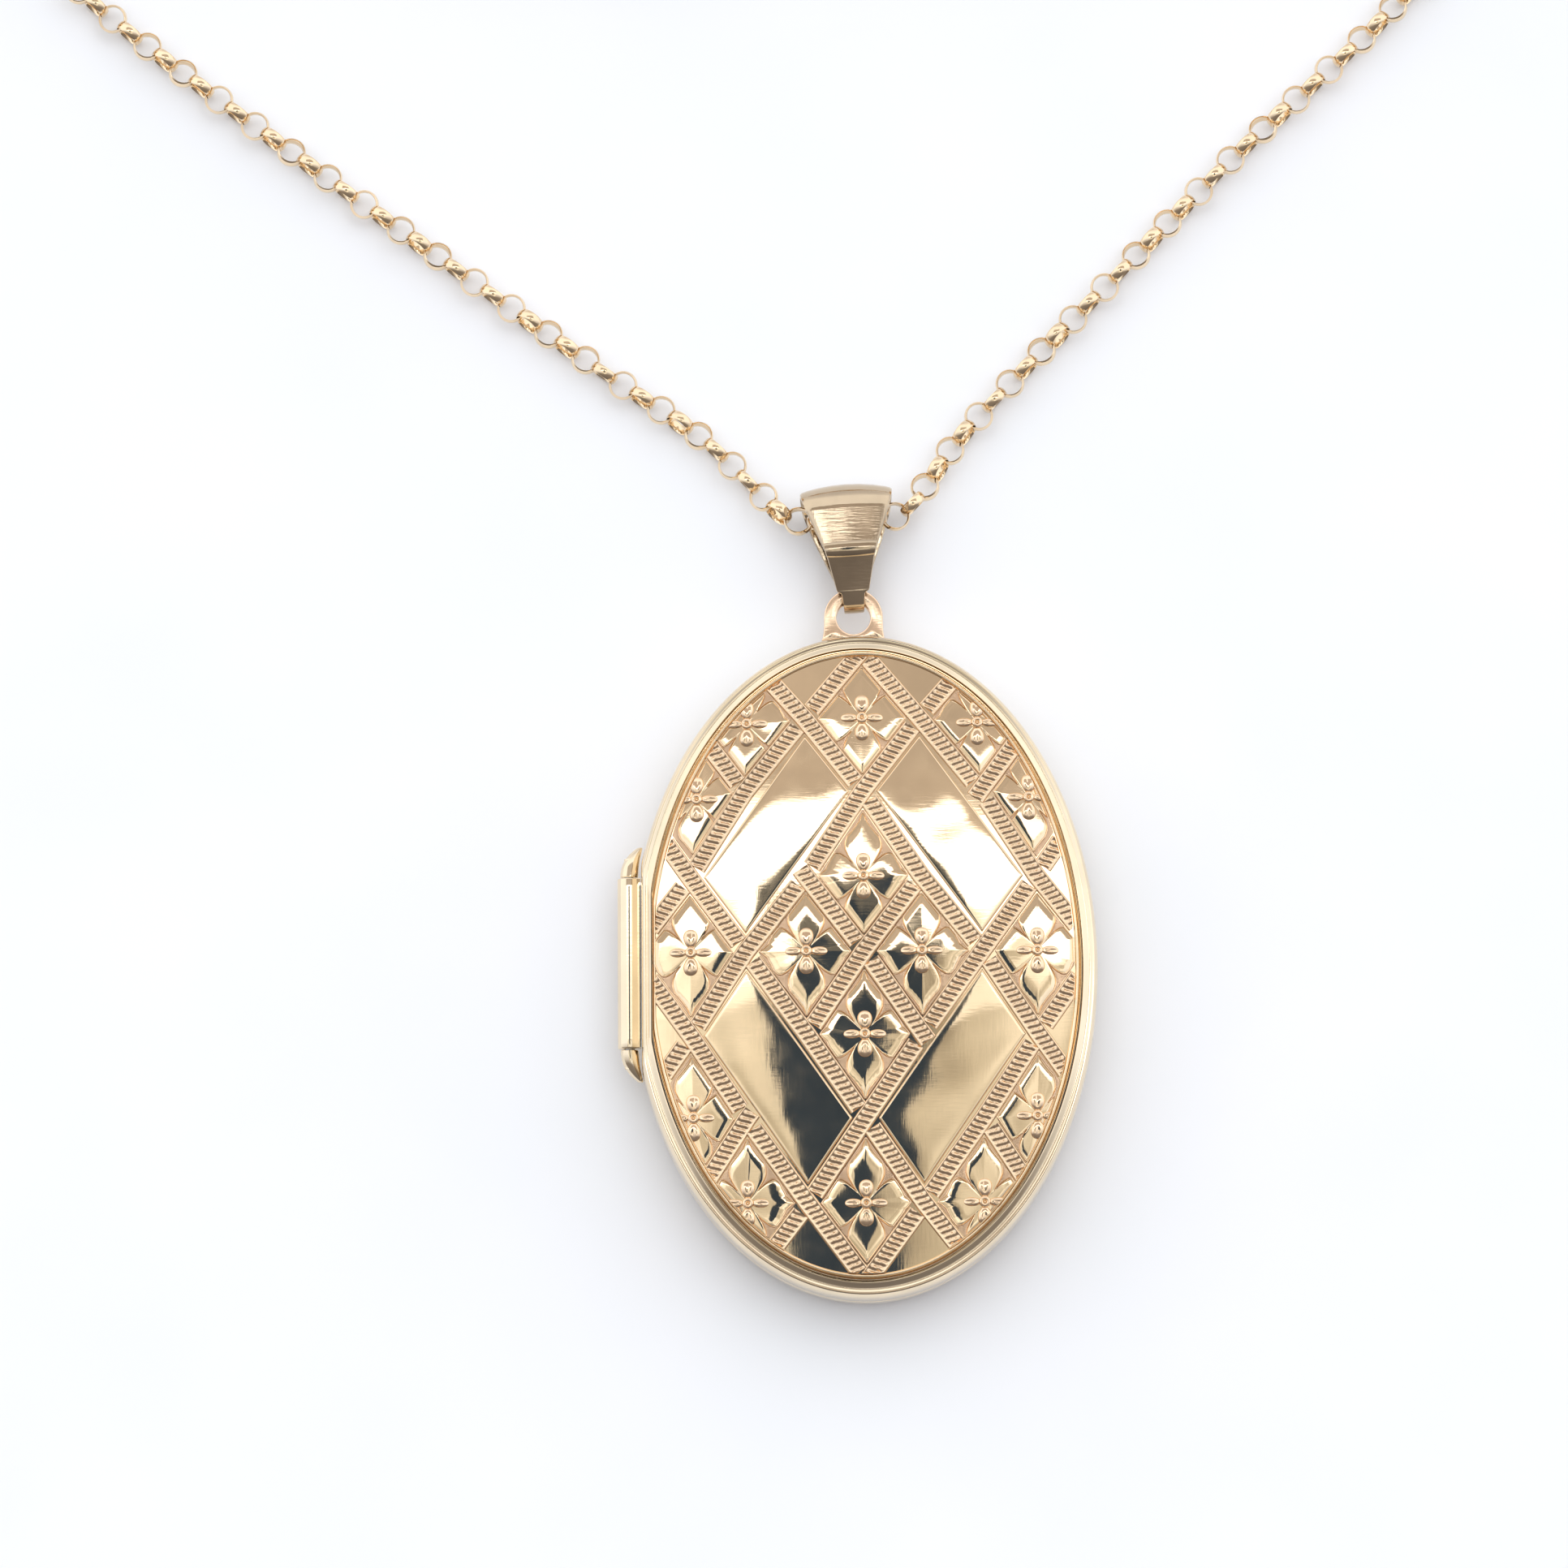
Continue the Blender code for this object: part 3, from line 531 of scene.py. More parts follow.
def clear_plastic():
    """A thin clear sheet with a few smears."""
    material, tree, shader = new_material("clear_plastic", (0.97, 0.99, 1.0), 0.05, 0.0)
    shader.inputs["Alpha"].default_value = 0.22
    smear = noise(tree, 400.0, 4.0)
    tree.links.new(map_range(tree, smear, 0.03, 0.14), shader.inputs["Roughness"])
    return material


def make_materials():
    """The golds, each with its name, colour, roughness, tone, scratches and ripple, and the rest."""
    golds = {
        "face": ("polished_rose_gold", (0.90, 0.71, 0.48), 0.05, 0.07, 0.03, 0.13),
        "engraved": ("engraved_rose_gold", (0.91, 0.68, 0.46), 0.11, 0.08, 0.10, 0.18),
        "matt": ("matt_rose_gold", (0.70, 0.49, 0.33), 0.28, 0.12, 0.40, 0.35),
        "petal": ("petal_gold", (0.94, 0.71, 0.49), 0.08, 0.06, 0.08, 0.18),
        "rose": ("rose_gold", (0.93, 0.70, 0.50), 0.16, 0.08, 0.18, 0.30),
        "yellow": ("yellow_gold", (0.88, 0.72, 0.49), 0.10, 0.06, 0.20, 0.25),
        "band": ("pale_gold", (0.88, 0.74, 0.54), 0.05, 0.06, 0.04, 0.12),
        "chain": ("chain_gold", (0.92, 0.73, 0.50), 0.09, 0.06, 0.08, 0.15),
        # The bail's gold: its scratches and cloudy tone are wear, and its base colour, far darker
        # than the other golds, is painted shade that darkens the reflections on the bail.
        "worn_and_shaded": ("worn_and_shaded_gold", (0.60, 0.48, 0.34), 0.08, 0.15, 0.14, 0.25),
    }
    materials = {key: gold(*finish) for key, finish in golds.items()}
    materials["steel"] = drawn_steel()
    materials["card"] = paper_card()
    materials["clear"] = clear_plastic()
    return materials


# ---- camera, floor and light

def make_camera():
    """The camera, with the field of view that spans the view's width at the target."""
    data = bpy.data.cameras.new("camera")
    data.sensor_width = SENSOR_WIDTH
    data.lens = SENSOR_WIDTH * CAMERA_DISTANCE / VIEW_WIDTH
    data.clip_start = 0.01
    camera = new_object("camera", data)
    rise = math.radians(CAMERA_ELEVATION)
    toward = Vector((0.0, -math.cos(rise), math.sin(rise)))
    camera.location = at(*CAMERA_TARGET) + toward * CAMERA_DISTANCE * MILLIMETRE
    aim = (-toward).to_track_quat("-Z", "Y").to_matrix()
    roll = Matrix.Rotation(math.radians(CAMERA_ROLL), 3, "Z")
    camera.rotation_euler = (aim @ roll).to_euler()
    bpy.context.scene.camera = camera


def level_sheet(name, outline, height, material):
    """A level sheet of the studio. Its outline is in millimetres."""
    mesh = bpy.data.meshes.new(name)
    mesh.from_pydata([at(x, y, height) for x, y in outline], [], [tuple(range(len(outline)))])
    mesh.materials.append(material)
    sheet = new_object(name, mesh)
    return sheet


def make_floor():
    """The pale floor under the locket."""
    material, tree, shader = new_material("pale_floor", (0.93, 0.95, 0.98), 0.9, 0.0)
    grain = noise(tree, 60.0, 2.0)
    tone = ramp(tree, grain, [(0.3, (0.92, 0.94, 0.97)), (0.7, (0.95, 0.96, 0.99))])
    tree.links.new(tone, shader.inputs["Base Color"])
    size = FLOOR_HALF_SIZE
    level_sheet("floor", [(-size, -size), (size, -size), (size, size), (-size, size)], 0.0, material)


def glow_material(name, tones, strength):
    """A glowing card, even in tone or clouded between several tones."""
    material, tree, _ = new_material(name, tones[0], 1.0, 0.0)
    tree.nodes.clear()
    emission = add_node(tree, "Emission", Strength=strength)
    if len(tones) == 1:
        emission.inputs["Color"].default_value = (*tones[0], 1.0)
    else:
        cloud = noise(tree, 11.0, 1.5)
        stops = [(0.30 + 0.38 * i / (len(tones) - 1), tone) for i, tone in enumerate(tones)]
        tree.links.new(ramp(tree, cloud, stops), emission.inputs["Color"])
    output = add_node(tree, "OutputMaterial")
    tree.links.new(emission.outputs["Emission"], output.inputs["Surface"])
    return material


def studio_card(name, height, strength, tones, outline):
    """A flat card above the table, seen only as a reflection."""
    card = level_sheet(name, outline, height, glow_material(name, tones, strength))
    card.visible_camera = False
    card.visible_diffuse = False
    card.visible_shadow = False


def make_world():
    """A pale room, darker on the side where the viewer stands."""
    world = bpy.data.worlds.new("studio")
    world.use_nodes = True
    tree = world.node_tree
    place = add_node(tree, "TexCoord")
    split = add_node(tree, "SeparateXYZ")
    spread = add_node(tree, "MapRange", From_Min=-1.0, From_Max=1.0)
    tree.links.new(place.outputs["Generated"], split.inputs["Vector"])
    tree.links.new(split.outputs["Y"], spread.inputs["Value"])
    tones = ramp(tree, spread.outputs["Result"], [
        (0.00, (0.14, 0.13, 0.13)), (0.28, (0.22, 0.20, 0.19)), (0.40, (0.60, 0.60, 0.62)),
        (0.50, (0.92, 0.95, 1.00)), (0.66, (1.00, 1.00, 1.00)), (0.90, (1.00, 1.00, 1.00)),
        (1.00, (0.60, 0.60, 0.62)),
    ])
    tree.links.new(tones, tree.nodes["Background"].inputs["Color"])
    tree.nodes["Background"].inputs["Strength"].default_value = ROOM_STRENGTH
    bpy.context.scene.world = world


def make_light():
    """The room, one soft lamp that metal doesn't mirror, and the cards that it does."""
    make_world()
    bpy.context.scene.view_settings.view_transform = "Standard"
    lamp = bpy.data.lights.new("soft_box", "AREA")
    lamp.energy = LAMP_POWER
    lamp.size = LAMP_SIZE
    lamp.color = (0.93, 0.96, 1.0)
    box = new_object("soft_box", lamp)
    box.location = (0.1, 0.1, 1.1)
    box.visible_glossy = False
    for card in STUDIO_CARDS:
        studio_card(*card)


# ---- chain

def smooth_curve(points, step):
    """Points about one step apart on a Catmull-Rom curve through the points, and its length."""
    route = [Vector(point) for point in points]
    route = [route[0] * 2.0 - route[1]] + route + [route[-1] * 2.0 - route[-2]]
    fine = []
    pieces = 24
    for a, b, c, d in zip(route, route[1:], route[2:], route[3:]):
        fine += [curve_point(a, b, c, d, k / pieces) for k in range(pieces)]
    fine.append(route[-2])
    spots = np.array([tuple(point) for point in fine])
    walked = np.concatenate([[0.0], np.cumsum(np.linalg.norm(np.diff(spots, axis=0), axis=1))])
    count = max(2, round(walked[-1] / step))
    wanted = np.linspace(0.0, walked[-1], count + 1)
    spaced = np.stack([np.interp(wanted, walked, spots[:, i]) for i in range(3)], axis=1)
    return spaced, walked[-1]


def coil_turns(radius):
    """One low turn inwards, a short climb and most of a high turn outwards."""
    points = []
    steps = 18
    low_turn = 360.0
    climb = 40.0
    last = 660.0
    count = int(steps * last / 360.0)
    for i in range(count + 1):
        angle = last * i / count
        if angle <= low_turn:
            r = radius - COIL_STEP * angle / low_turn
        else:
            r = radius - COIL_STEP + COIL_STEP * (angle - low_turn) / 360.0
        share = min(max((angle - low_turn + climb) / climb, 0.0), 1.0)
        share = share * share * (3.0 - 2.0 * share)
        z = COIL_LOW_Z + (COIL_HIGH_Z - COIL_LOW_Z) * share
        turn = math.radians(angle)
        x = COIL_CENTRE[0] + r * math.cos(turn)
        y = COIL_CENTRE[1] + r * math.sin(turn)
        points.append((x, y, z))
    return points


def ring_sections(centre, first, second, radius, depth, width, steps):
    """Sections of a ring whose plane holds the directions first and second.

    Depth and width give each section's points: out from the ring's radius, and sideways.
    """
    turn = round_angles(steps)
    axis = np.cross(first, second)
    outward = np.outer(np.cos(turn), first) + np.outer(np.sin(turn), second)
    reach = (radius + depth)[None, :, None] * outward[:, None, :]
    return centre + reach + (width[:, None] * axis[None, :])[None, :, :]


def link_sections(place, along, side, up, roll):
    """One round link, fuller outside than in its hole, whose plane holds the chain's line."""
    bulge = round_angles(LINK_SIDES, 0.5)
    depth = np.where(np.cos(bulge) > 0.0, LINK_CROWN, LINK_HOLLOW) * np.cos(bulge)
    width = LINK_HALF_WIDTH * np.sin(bulge)
    in_plane = side * math.cos(roll) + up * math.sin(roll)
    return ring_sections(place, along, in_plane, LINK_RADIUS, depth, width, LINK_STEPS)


def chain_strand(name, route, material, loop_roll):
    """One strand of links, each turned square to the last but for a slight sway."""
    spots, length = smooth_curve(route, LINK_PITCH)
    parts = Parts()
    for i, place in enumerate(spots):
        before = spots[max(i - 1, 0)]
        after = spots[min(i + 1, len(spots) - 1)]
        along = (after - before) / np.linalg.norm(after - before)
        side = np.cross(UP, along)
        side /= np.linalg.norm(side)
        above = np.cross(along, side)
        sway = loop_roll + 0.16 * math.sin(0.9 * i) + 0.10 * math.sin(2.3 * i + 1.0)
        roll = sway + (i % 2) * math.pi / 2.0
        parts.add(link_sections(place, along, side, above, roll), closed=True)
    strand = parts.build(name, material, 60.0)
    path = smooth_curve(route, CORD_STEP)[0] * MILLIMETRE
    return strand


def clasp_ring(material, name, node, angle, distance, z, radius, wire, lies_flat):
    """A round wire ring beside the clasp, lying flat or standing on its edge."""
    outward = bearing(math.radians(angle))
    second = np.array((outward[1], -outward[0], 0.0)) if lies_flat else UP
    centre = CLASP + outward * distance
    centre[2] = z
    bulge = round_angles(16)
    depth = wire * np.cos(bulge)
    width = wire * np.sin(bulge)
    sections = ring_sections(centre, outward, second, radius, depth, width, 64)
    return piece(loft(name, sections, material, closed=True), "chain", "yellow_gold", node)


def make_chain(materials):
    """The two strands with their coiled ends, the clasp and the rings that join them to it."""
    clasp_pieces = make_clasp(materials)
    eye, jump, end_ring = [clasp_ring(materials["yellow"], *ring) for ring in CLASP_RINGS]
    left = chain_strand(
        "chain_left", LEFT_RUN + coil_turns(LEFT_COIL_RADIUS) + LEFT_TAIL, materials["chain"],
        0.05,
    )
    piece(left, "chain", "chain_gold", "chain_left_run", "chain_coil", "chain_left_tail")
    right = chain_strand(
        "chain_right", RIGHT_RUN + coil_turns(RIGHT_COIL_RADIUS) + RIGHT_TAIL, materials["chain"],
        -0.08,
    )
    piece(right, "chain", "chain_gold", "chain_right_run", "chain_right_tail")


# ---- the case's two halves

def oval(inset, z, scale=1.0):
    """The case's outline moved in by inset: an ellipse with a short flat for the hinge."""
    angle = round_angles(OVAL_POINTS, 0.5)
    flat = HINGE_FLAT_X + HINGE_FLAT_FADE * inset
    x = np.maximum((CASE_HALF_WIDTH - inset) * np.cos(angle), flat) * scale
    y = (CASE_HALF_LENGTH - inset) * np.sin(angle) * scale
    return np.stack([x, y, np.full(OVAL_POINTS, z)], axis=1)


def rounded(points, share=0.28, steps=3):
    """A closed profile with each corner replaced by a short curve."""
    smooth = []
    count = len(points)
    for i in range(count):
        corner = np.array(points[i])
        before = corner + (np.array(points[i - 1]) - corner) * share
        after = corner + (np.array(points[(i + 1) % count]) - corner) * share
        for k in range(steps + 1):
            t = k / steps
            spot = before * (1 - t) ** 2 + 2.0 * corner * t * (1 - t) + after * t ** 2
            smooth.append(tuple(spot))
    return smooth


def turned_over(profile):
    """The same (inset, z) profile turned over for the back half."""
    return [(inset, 2.0 * PARTING_Z - z) for inset, z in profile]


def oval_ring(name, profile, material):
    """A ring round the case with this closed (inset, z) profile."""
    sections = [oval(inset, z) for inset, z in profile]
    return loft(name, sections, material, closed=True)


def make_bands(materials):
    """The two polished side bands, one the other turned over."""
    front = oval_ring("front_band", BAND_PROFILE, materials["band"])
    piece(front, "cover", "pale_gold", "front_rim_band")
    back = oval_ring("back_band", turned_over(BAND_PROFILE), materials["band"])
    piece(back, "case_back", "pale_gold", "back_rim_band")


def dome(x, y):
    """Height of the engraved face's smooth dome."""
    half_width = CASE_HALF_WIDTH - BORDER_INSET
    half_length = CASE_HALF_LENGTH - BORDER_INSET
    return BORDER_Z + DOME_RISE * (1.0 - (x / half_width) ** 2 - (y / half_length) ** 2)


def on_face(x, y, rise):
    """Points that stand this much over the dome."""
    return np.stack([x, y, dome(x, y) + rise], axis=1)


def face_plate(material):
    """The smooth domed plate under the engraving, with its turned border."""
    scales = np.linspace(0.04, 0.975, 32)
    top = [
        oval(BORDER_INSET, BORDER_Z + DOME_RISE * (1.0 - s * s) - FACE_SINK, s) for s in scales
    ]
    border = [
        (1.30, 5.005), (1.27, 5.06), (1.23, 5.105), (1.18, 5.12), (1.13, 5.105), (1.10, 5.05),
        (1.08, 5.00), (1.06, 5.00), (1.04, 5.05), (1.01, 5.10), (0.98, 5.10), (0.95, 5.06),
        (PLATE_INSET, 5.00),
        (PLATE_INSET, LEDGE_TOP_Z + FIT_GAP), (BORDER_INSET + PLATE_LIP, LEDGE_TOP_Z + FIT_GAP),
    ]
    sections = top + [oval(inset, z) for inset, z in border]
    under = [
        oval(BORDER_INSET + PLATE_LIP, BORDER_Z + DOME_RISE * (1.0 - s * s) - PLATE_THICKNESS, s)
        for s in np.linspace(0.95, 0.05, 10)
    ]
    return loft("front_plate", sections + under, material, sharp_angle=50.0)


def lattice_point(column, row):
    """Where this column and row cross; the columns left of the middle mirror the right ones."""
    x = math.copysign(np.interp(abs(column), range(len(COLUMNS)), COLUMNS), column)
    y = np.interp(row + LAST_ROW, range(len(ROWS)), ROWS)
    return np.array((float(x), float(y)))


def border_share(x, y):
    """1 on the engraved field's edge, less inside it."""
    return np.sqrt((x / ENGRAVED_HALF_WIDTH) ** 2 + (y / ENGRAVED_HALF_LENGTH) ** 2)


def keep_inside(x, y):
    """Moves points that lie past the engraved field's edge on to it."""
    share = np.maximum(border_share(x, y), 1.0)
    return x / share, y / share


def plain_step(low, high):
    """Whether the stretch between these two crossings is left out for a plain panel."""
    ends = {(abs(low[0]), low[1]), (abs(high[0]), high[1])}
    return ends in ({(1, 1), (2, 2)}, {(1, -1), (2, -2)})


def band_strip(parts, route, direction):
    """One stretch of wriggle-cut band along a route of points in the plane."""
    route = np.array(route)
    steps = np.linalg.norm(np.diff(route, axis=0), axis=1)
    walked = np.concatenate([[0.0], np.cumsum(steps)])
    count = max(3, int(round(walked[-1] / CUT_PITCH)) * CUT_STEPS)
    s = np.linspace(0.0, walked[-1], count + 1)
    x = np.interp(s, walked, route[:, 0])
    y = np.interp(s, walked, route[:, 1])
    heading = np.stack([np.gradient(x, s), np.gradient(y, s)], axis=1)
    heading /= np.linalg.norm(heading, axis=1)[:, None]
    px = x[:, None] - heading[:, 1:] * BAND_ACROSS[None, :]
    py = y[:, None] + heading[:, :1] * BAND_ACROSS[None, :]
    px, py = keep_inside(px, py)
    bend = CUT_BEND * np.sin(np.pi * BAND_ACROSS / CUT_HALF_WIDTH) * direction
    uneven = 0.7 * np.sin(s * 1.7)
    phase = 2.0 * np.pi * s[:, None] / CUT_PITCH + bend[None, :] + uneven[:, None]
    cut = CUT_DEPTH * CUT_SHARE[None, :] * np.sin(phase)
    inside = border_share(x, y) < 1.02
    sections = []
    for i in np.flatnonzero(inside):
        upper = on_face(px[i], py[i], BAND_RISE + cut[i])
        lower = on_face(px[i, ::-1], py[i, ::-1], ENGRAVING_FOOT)[2:-2:5]
        sections.append(np.concatenate([upper, lower]))
    if len(sections) > 4:
        parts.add(sections)


def lattice_bands(material):
    """The bands weave: a band passes over a crossing in a row of its own parity."""
    parts = Parts()
    gap = UNDER_BAND_GAP / math.sin(CROSSING_ANGLE)
    for row in range(-LAST_ROW + 1, LAST_ROW):
        direction = 1 if row % 2 == 0 else -1
        for column in range(-LAST_COLUMN, LAST_COLUMN + 1):
            if (column + row) % 2:
                continue
            here = lattice_point(column, row)
            ends = []
            for end in (-1, 1):
                other = (column + end * direction, row + end)
                away = lattice_point(*other) - here
                reach = np.linalg.norm(away)
                length = PLAIN_END_LENGTH if plain_step((column, row), other) else reach - gap
                ends.append(here + away * (length / reach))
            band_strip(parts, [ends[0], here, ends[1]], direction)
    return parts.build("face_lattice", material, 80.0)


def pillow(t, power):
    """0 at both ends of the stretch from 0 to 1 and 1 in its middle, flatter at a high power."""
    return 1.0 - np.abs(2.0 * t - 1.0) ** power


def plain_panel(parts, corners):
    """A polished, slightly domed panel over two lozenges. Corners: two along a long side first."""
    long_side = np.linalg.norm(corners[1] - corners[0])
    short_side = np.linalg.norm(corners[3] - corners[0])
    margin_a = PANEL_MARGIN / (long_side * math.sin(CROSSING_ANGLE))
    margin_b = PANEL_MARGIN / (short_side * math.sin(CROSSING_ANGLE))
    edge = np.array((0.0, 0.006, 0.014, 0.024, 0.036))
    a = np.concatenate([edge, np.linspace(0.06, 0.94, 56), 1.0 - edge[::-1]])
    b = np.concatenate([edge * 2.0, np.linspace(0.10, 0.90, 30), 1.0 - edge[::-1] * 2.0])
    share_a = margin_a + a * (1.0 - 2.0 * margin_a)
    share_b = margin_b + b * (1.0 - 2.0 * margin_b)
    u, v = np.meshgrid(share_a, share_b, indexing="ij")
    raised_a, raised_b = np.meshgrid(a, b, indexing="ij")
    weights = ((1 - u) * (1 - v), u * (1 - v), u * v, (1 - u) * v)
    x = sum(weight * corner[0] for weight, corner in zip(weights, corners))
    y = sum(weight * corner[1] for weight, corner in zip(weights, corners))
    crown = pillow(raised_a, 4.0) * pillow(raised_b, 7.0)
    bevel = np.clip(np.minimum(pillow(raised_a, 160.0), pillow(raised_b, 80.0)), 0.0, 1.0)
    wave = 0.004 * np.sin(1.1 * x + 0.7 * y) + 0.003 * np.sin(1.9 * y - 0.8 * x)
    rise = PANEL_BEVEL * np.sqrt(bevel) + PANEL_CROWN * crown + wave * bevel - PANEL_SINK
    ends = [len(b) - 1, 0]
    sections = []
    for i in range(len(a)):
        upper = on_face(x[i], y[i], rise[i])
        lower = on_face(x[i, ends], y[i, ends], ENGRAVING_FOOT)
        sections.append(np.concatenate([upper, lower]))
    parts.add(sections)


def face_panels(material):
    """Four panels, two above and two below the face's middle."""
    parts = Parts()
    for side in (-1, 1):
        for end in (1, -1):
            crossings = [(side, 3 * end), (3 * side, end), (2 * side, 0), (0, 2 * end)]
            plain_panel(parts, [lattice_point(*crossing) for crossing in crossings])
    return parts.build("face_panels", material, 50.0)


# ---- the flower cells

def lobe_radius(angle):
    """The lobed ground's radius, from its first quarter mirrored to the other three."""
    folded = np.abs((np.degrees(angle) + 90.0) % 180.0 - 90.0)
    return np.interp(folded, *zip(*LOBE_OUTLINE))


def cell_limit(centre, column, row, angle):
    """Distance from a flower to the bands round it, or to the engraved field's edge."""
    left, right = lattice_point(column - 1, row), lattice_point(column + 1, row)
    top, bottom = lattice_point(column, row + 1), lattice_point(column, row - 1)
    ray = np.stack([np.cos(angle), np.sin(angle)], axis=1)
    far, least = 9.0, 0.05
    limit = np.full(len(angle), far)
    for first, second in ((left, top), (top, right), (right, bottom), (bottom, left)):
        side = second - first
        normal = np.array((-side[1], side[0])) / np.linalg.norm(side)
        distance = np.dot(first - centre, normal) - CELL_MARGIN
        ahead = ray @ normal
        reach = np.where(ahead > 1e-4, distance / np.maximum(ahead, 1e-4), far)
        limit = np.minimum(limit, np.maximum(reach, least))
    scale = np.array((ENGRAVED_HALF_WIDTH, ENGRAVED_HALF_LENGTH))
    start, step = centre / scale, ray / scale
    a = (step ** 2).sum(axis=1)
    b = step @ start
    c = (start ** 2).sum() - 1.0
    return np.minimum(limit, (-b + np.sqrt(b * b - a * c)) / a)


def cell_ground(polished, edges, matt, centre, column, row):
    """The polished four-lobed ground, the bright edge round it and the raised matt corners."""
    angle = round_angles(CELL_ANGLES, 0.5)
    limit = cell_limit(centre, column, row, angle)
    lobe = np.maximum(np.minimum(lobe_radius(angle), limit - EDGE_WIDTH), 0.10)

    def ring(radius, rise):
        return on_face(centre[0] + radius * np.cos(angle), centre[1] + radius * np.sin(angle), rise)

    uneven = 0.018 * np.sin(2.0 * angle + 1.3 * column + 0.7 * row)
    shares = (0.03, 0.2, 0.4, 0.6, 0.8)
    ground = [ring(lobe * share, 0.03 - 0.02 * share ** 2 + uneven * share) for share in shares]
    ground.append(ring(np.maximum(lobe - 0.06, 0.05), 0.0))
    ground += [ring(lobe + 0.02, rise) for rise in (-0.02, ENGRAVING_FOOT)]
    ground.append(ring(lobe * shares[0], ENGRAVING_FOOT))
    polished.add(ground)
    edges.add([ring(lobe + reach, rise) for reach, rise in EDGE_PROFILE], closed=True)
    inner = lobe + CORNER_INSET
    width = np.maximum(limit - inner, 0.02)
    matt.add([ring(inner + width * share, rise) for share, rise in CORNER_PROFILE], closed=True)


def petal(parts, centre, angle, distance, length, width, height, crease, flare):
    """A raised petal with a soft crease along its middle, wider at its outer end by the flare."""
    along = np.array((math.cos(angle), math.sin(angle)))
    across = np.array((-along[1], along[0]))
    turn = round_angles(28)
    sections = []
    for share in PETAL_SHARES:
        bulge = height * math.sqrt(1.0 - share ** 2.4)
        a = np.cos(turn) * share
        b = np.sin(turn) * share * (1.0 + flare * np.cos(turn))
        x = centre[0] + along[0] * (distance + a * length) + across[0] * b * width
        y = centre[1] + along[1] * (distance + a * length) + across[1] * b * width
        furrow = 1.0 - crease * np.exp(-(b / FURROW_WIDTH) ** 2) * (0.5 + 0.5 * a)
        sections.append(on_face(*keep_inside(x, y), PETAL_BASE + bulge * furrow))
    foot = sections[0] + UP * ENGRAVING_FOOT
    parts.add([foot] + sections)


def flower(parts, centre):
    """Four petals round a small ring with a hollow middle."""
    for first, *sizes in PETAL_PAIRS:
        for angle in (first, first + 180.0):
            petal(parts, centre, math.radians(angle), *sizes)
    turn = round_angles(32)
    sections = []
    for radius, rise in FLOWER_EYE:
        x = centre[0] + radius * np.cos(turn)
        y = centre[1] + radius * np.sin(turn)
        sections.append(on_face(*keep_inside(x, y), rise))
    parts.add(sections)


def face_flowers(materials):
    """The cells' grounds, edges, corners and flowers, each gathered into one piece."""
    grounds, edges, corners, petals = Parts(), Parts(), Parts(), Parts()
    for column, row in FLOWER_CELLS:
        for side in ((1,) if column == 0 else (-1, 1)):
            centre = lattice_point(side * column, row)
            share = border_share(*centre)
            centre = centre * min(1.0, FLOWER_LIMIT / share)
            cell_ground(grounds, edges, corners, centre, side * column, row)
            flower(petals, centre)
    return (
        grounds.build("flower_grounds", materials["face"], 40.0),
        edges.build("flower_edges", materials["petal"], 80.0),
        corners.build("flower_corners", materials["matt"], 80.0),
        petals.build("flower_petals", materials["petal"], 60.0),
    )


def make_face(materials):
    """The engraved front: the domed plate and everything raised on it."""
    plate = face_plate(materials["face"])
    piece(plate, "cover", "rose_gold", "front_face_plate")
    lattice = lattice_bands(materials["engraved"])
    panels = face_panels(materials["face"])
    for part in (lattice, panels, *face_flowers(materials)):
        piece(part, "cover", "rose_gold")


# ---- back and inside

def make_back(materials):
    """The plain back plate: flat in its middle, rising to a turned edge."""
    inside_z = 2.0 * PARTING_Z - LEDGE_TOP_Z - FIT_GAP
    lip = BORDER_INSET + PLATE_LIP
    sections = [oval(BORDER_INSET, 0.0, s) for s in np.linspace(0.04, 0.68, 12)]
    sections += [oval(BORDER_INSET, z, scale) for scale, z in BACK_CROWN]
    edge = [
        (BORDER_INSET, 0.52), (1.17, 0.50), (1.12, 0.50), (1.06, 0.53),
        (PLATE_INSET, BACK_EDGE_Z), (PLATE_INSET, inside_z), (lip, inside_z),
    ]
    sections += [oval(inset, z) for inset, z in edge]
    sections += [oval(lip, z + PLATE_THICKNESS, scale) for scale, z in reversed(BACK_CROWN)]
    sections += [oval(lip, PLATE_THICKNESS, s) for s in np.linspace(0.68, 0.04, 6)]
    plate = loft("back_plate", sections, materials["yellow"], sharp_angle=50.0)
    piece(plate, "case_back", "yellow_gold", "back_face_plate")


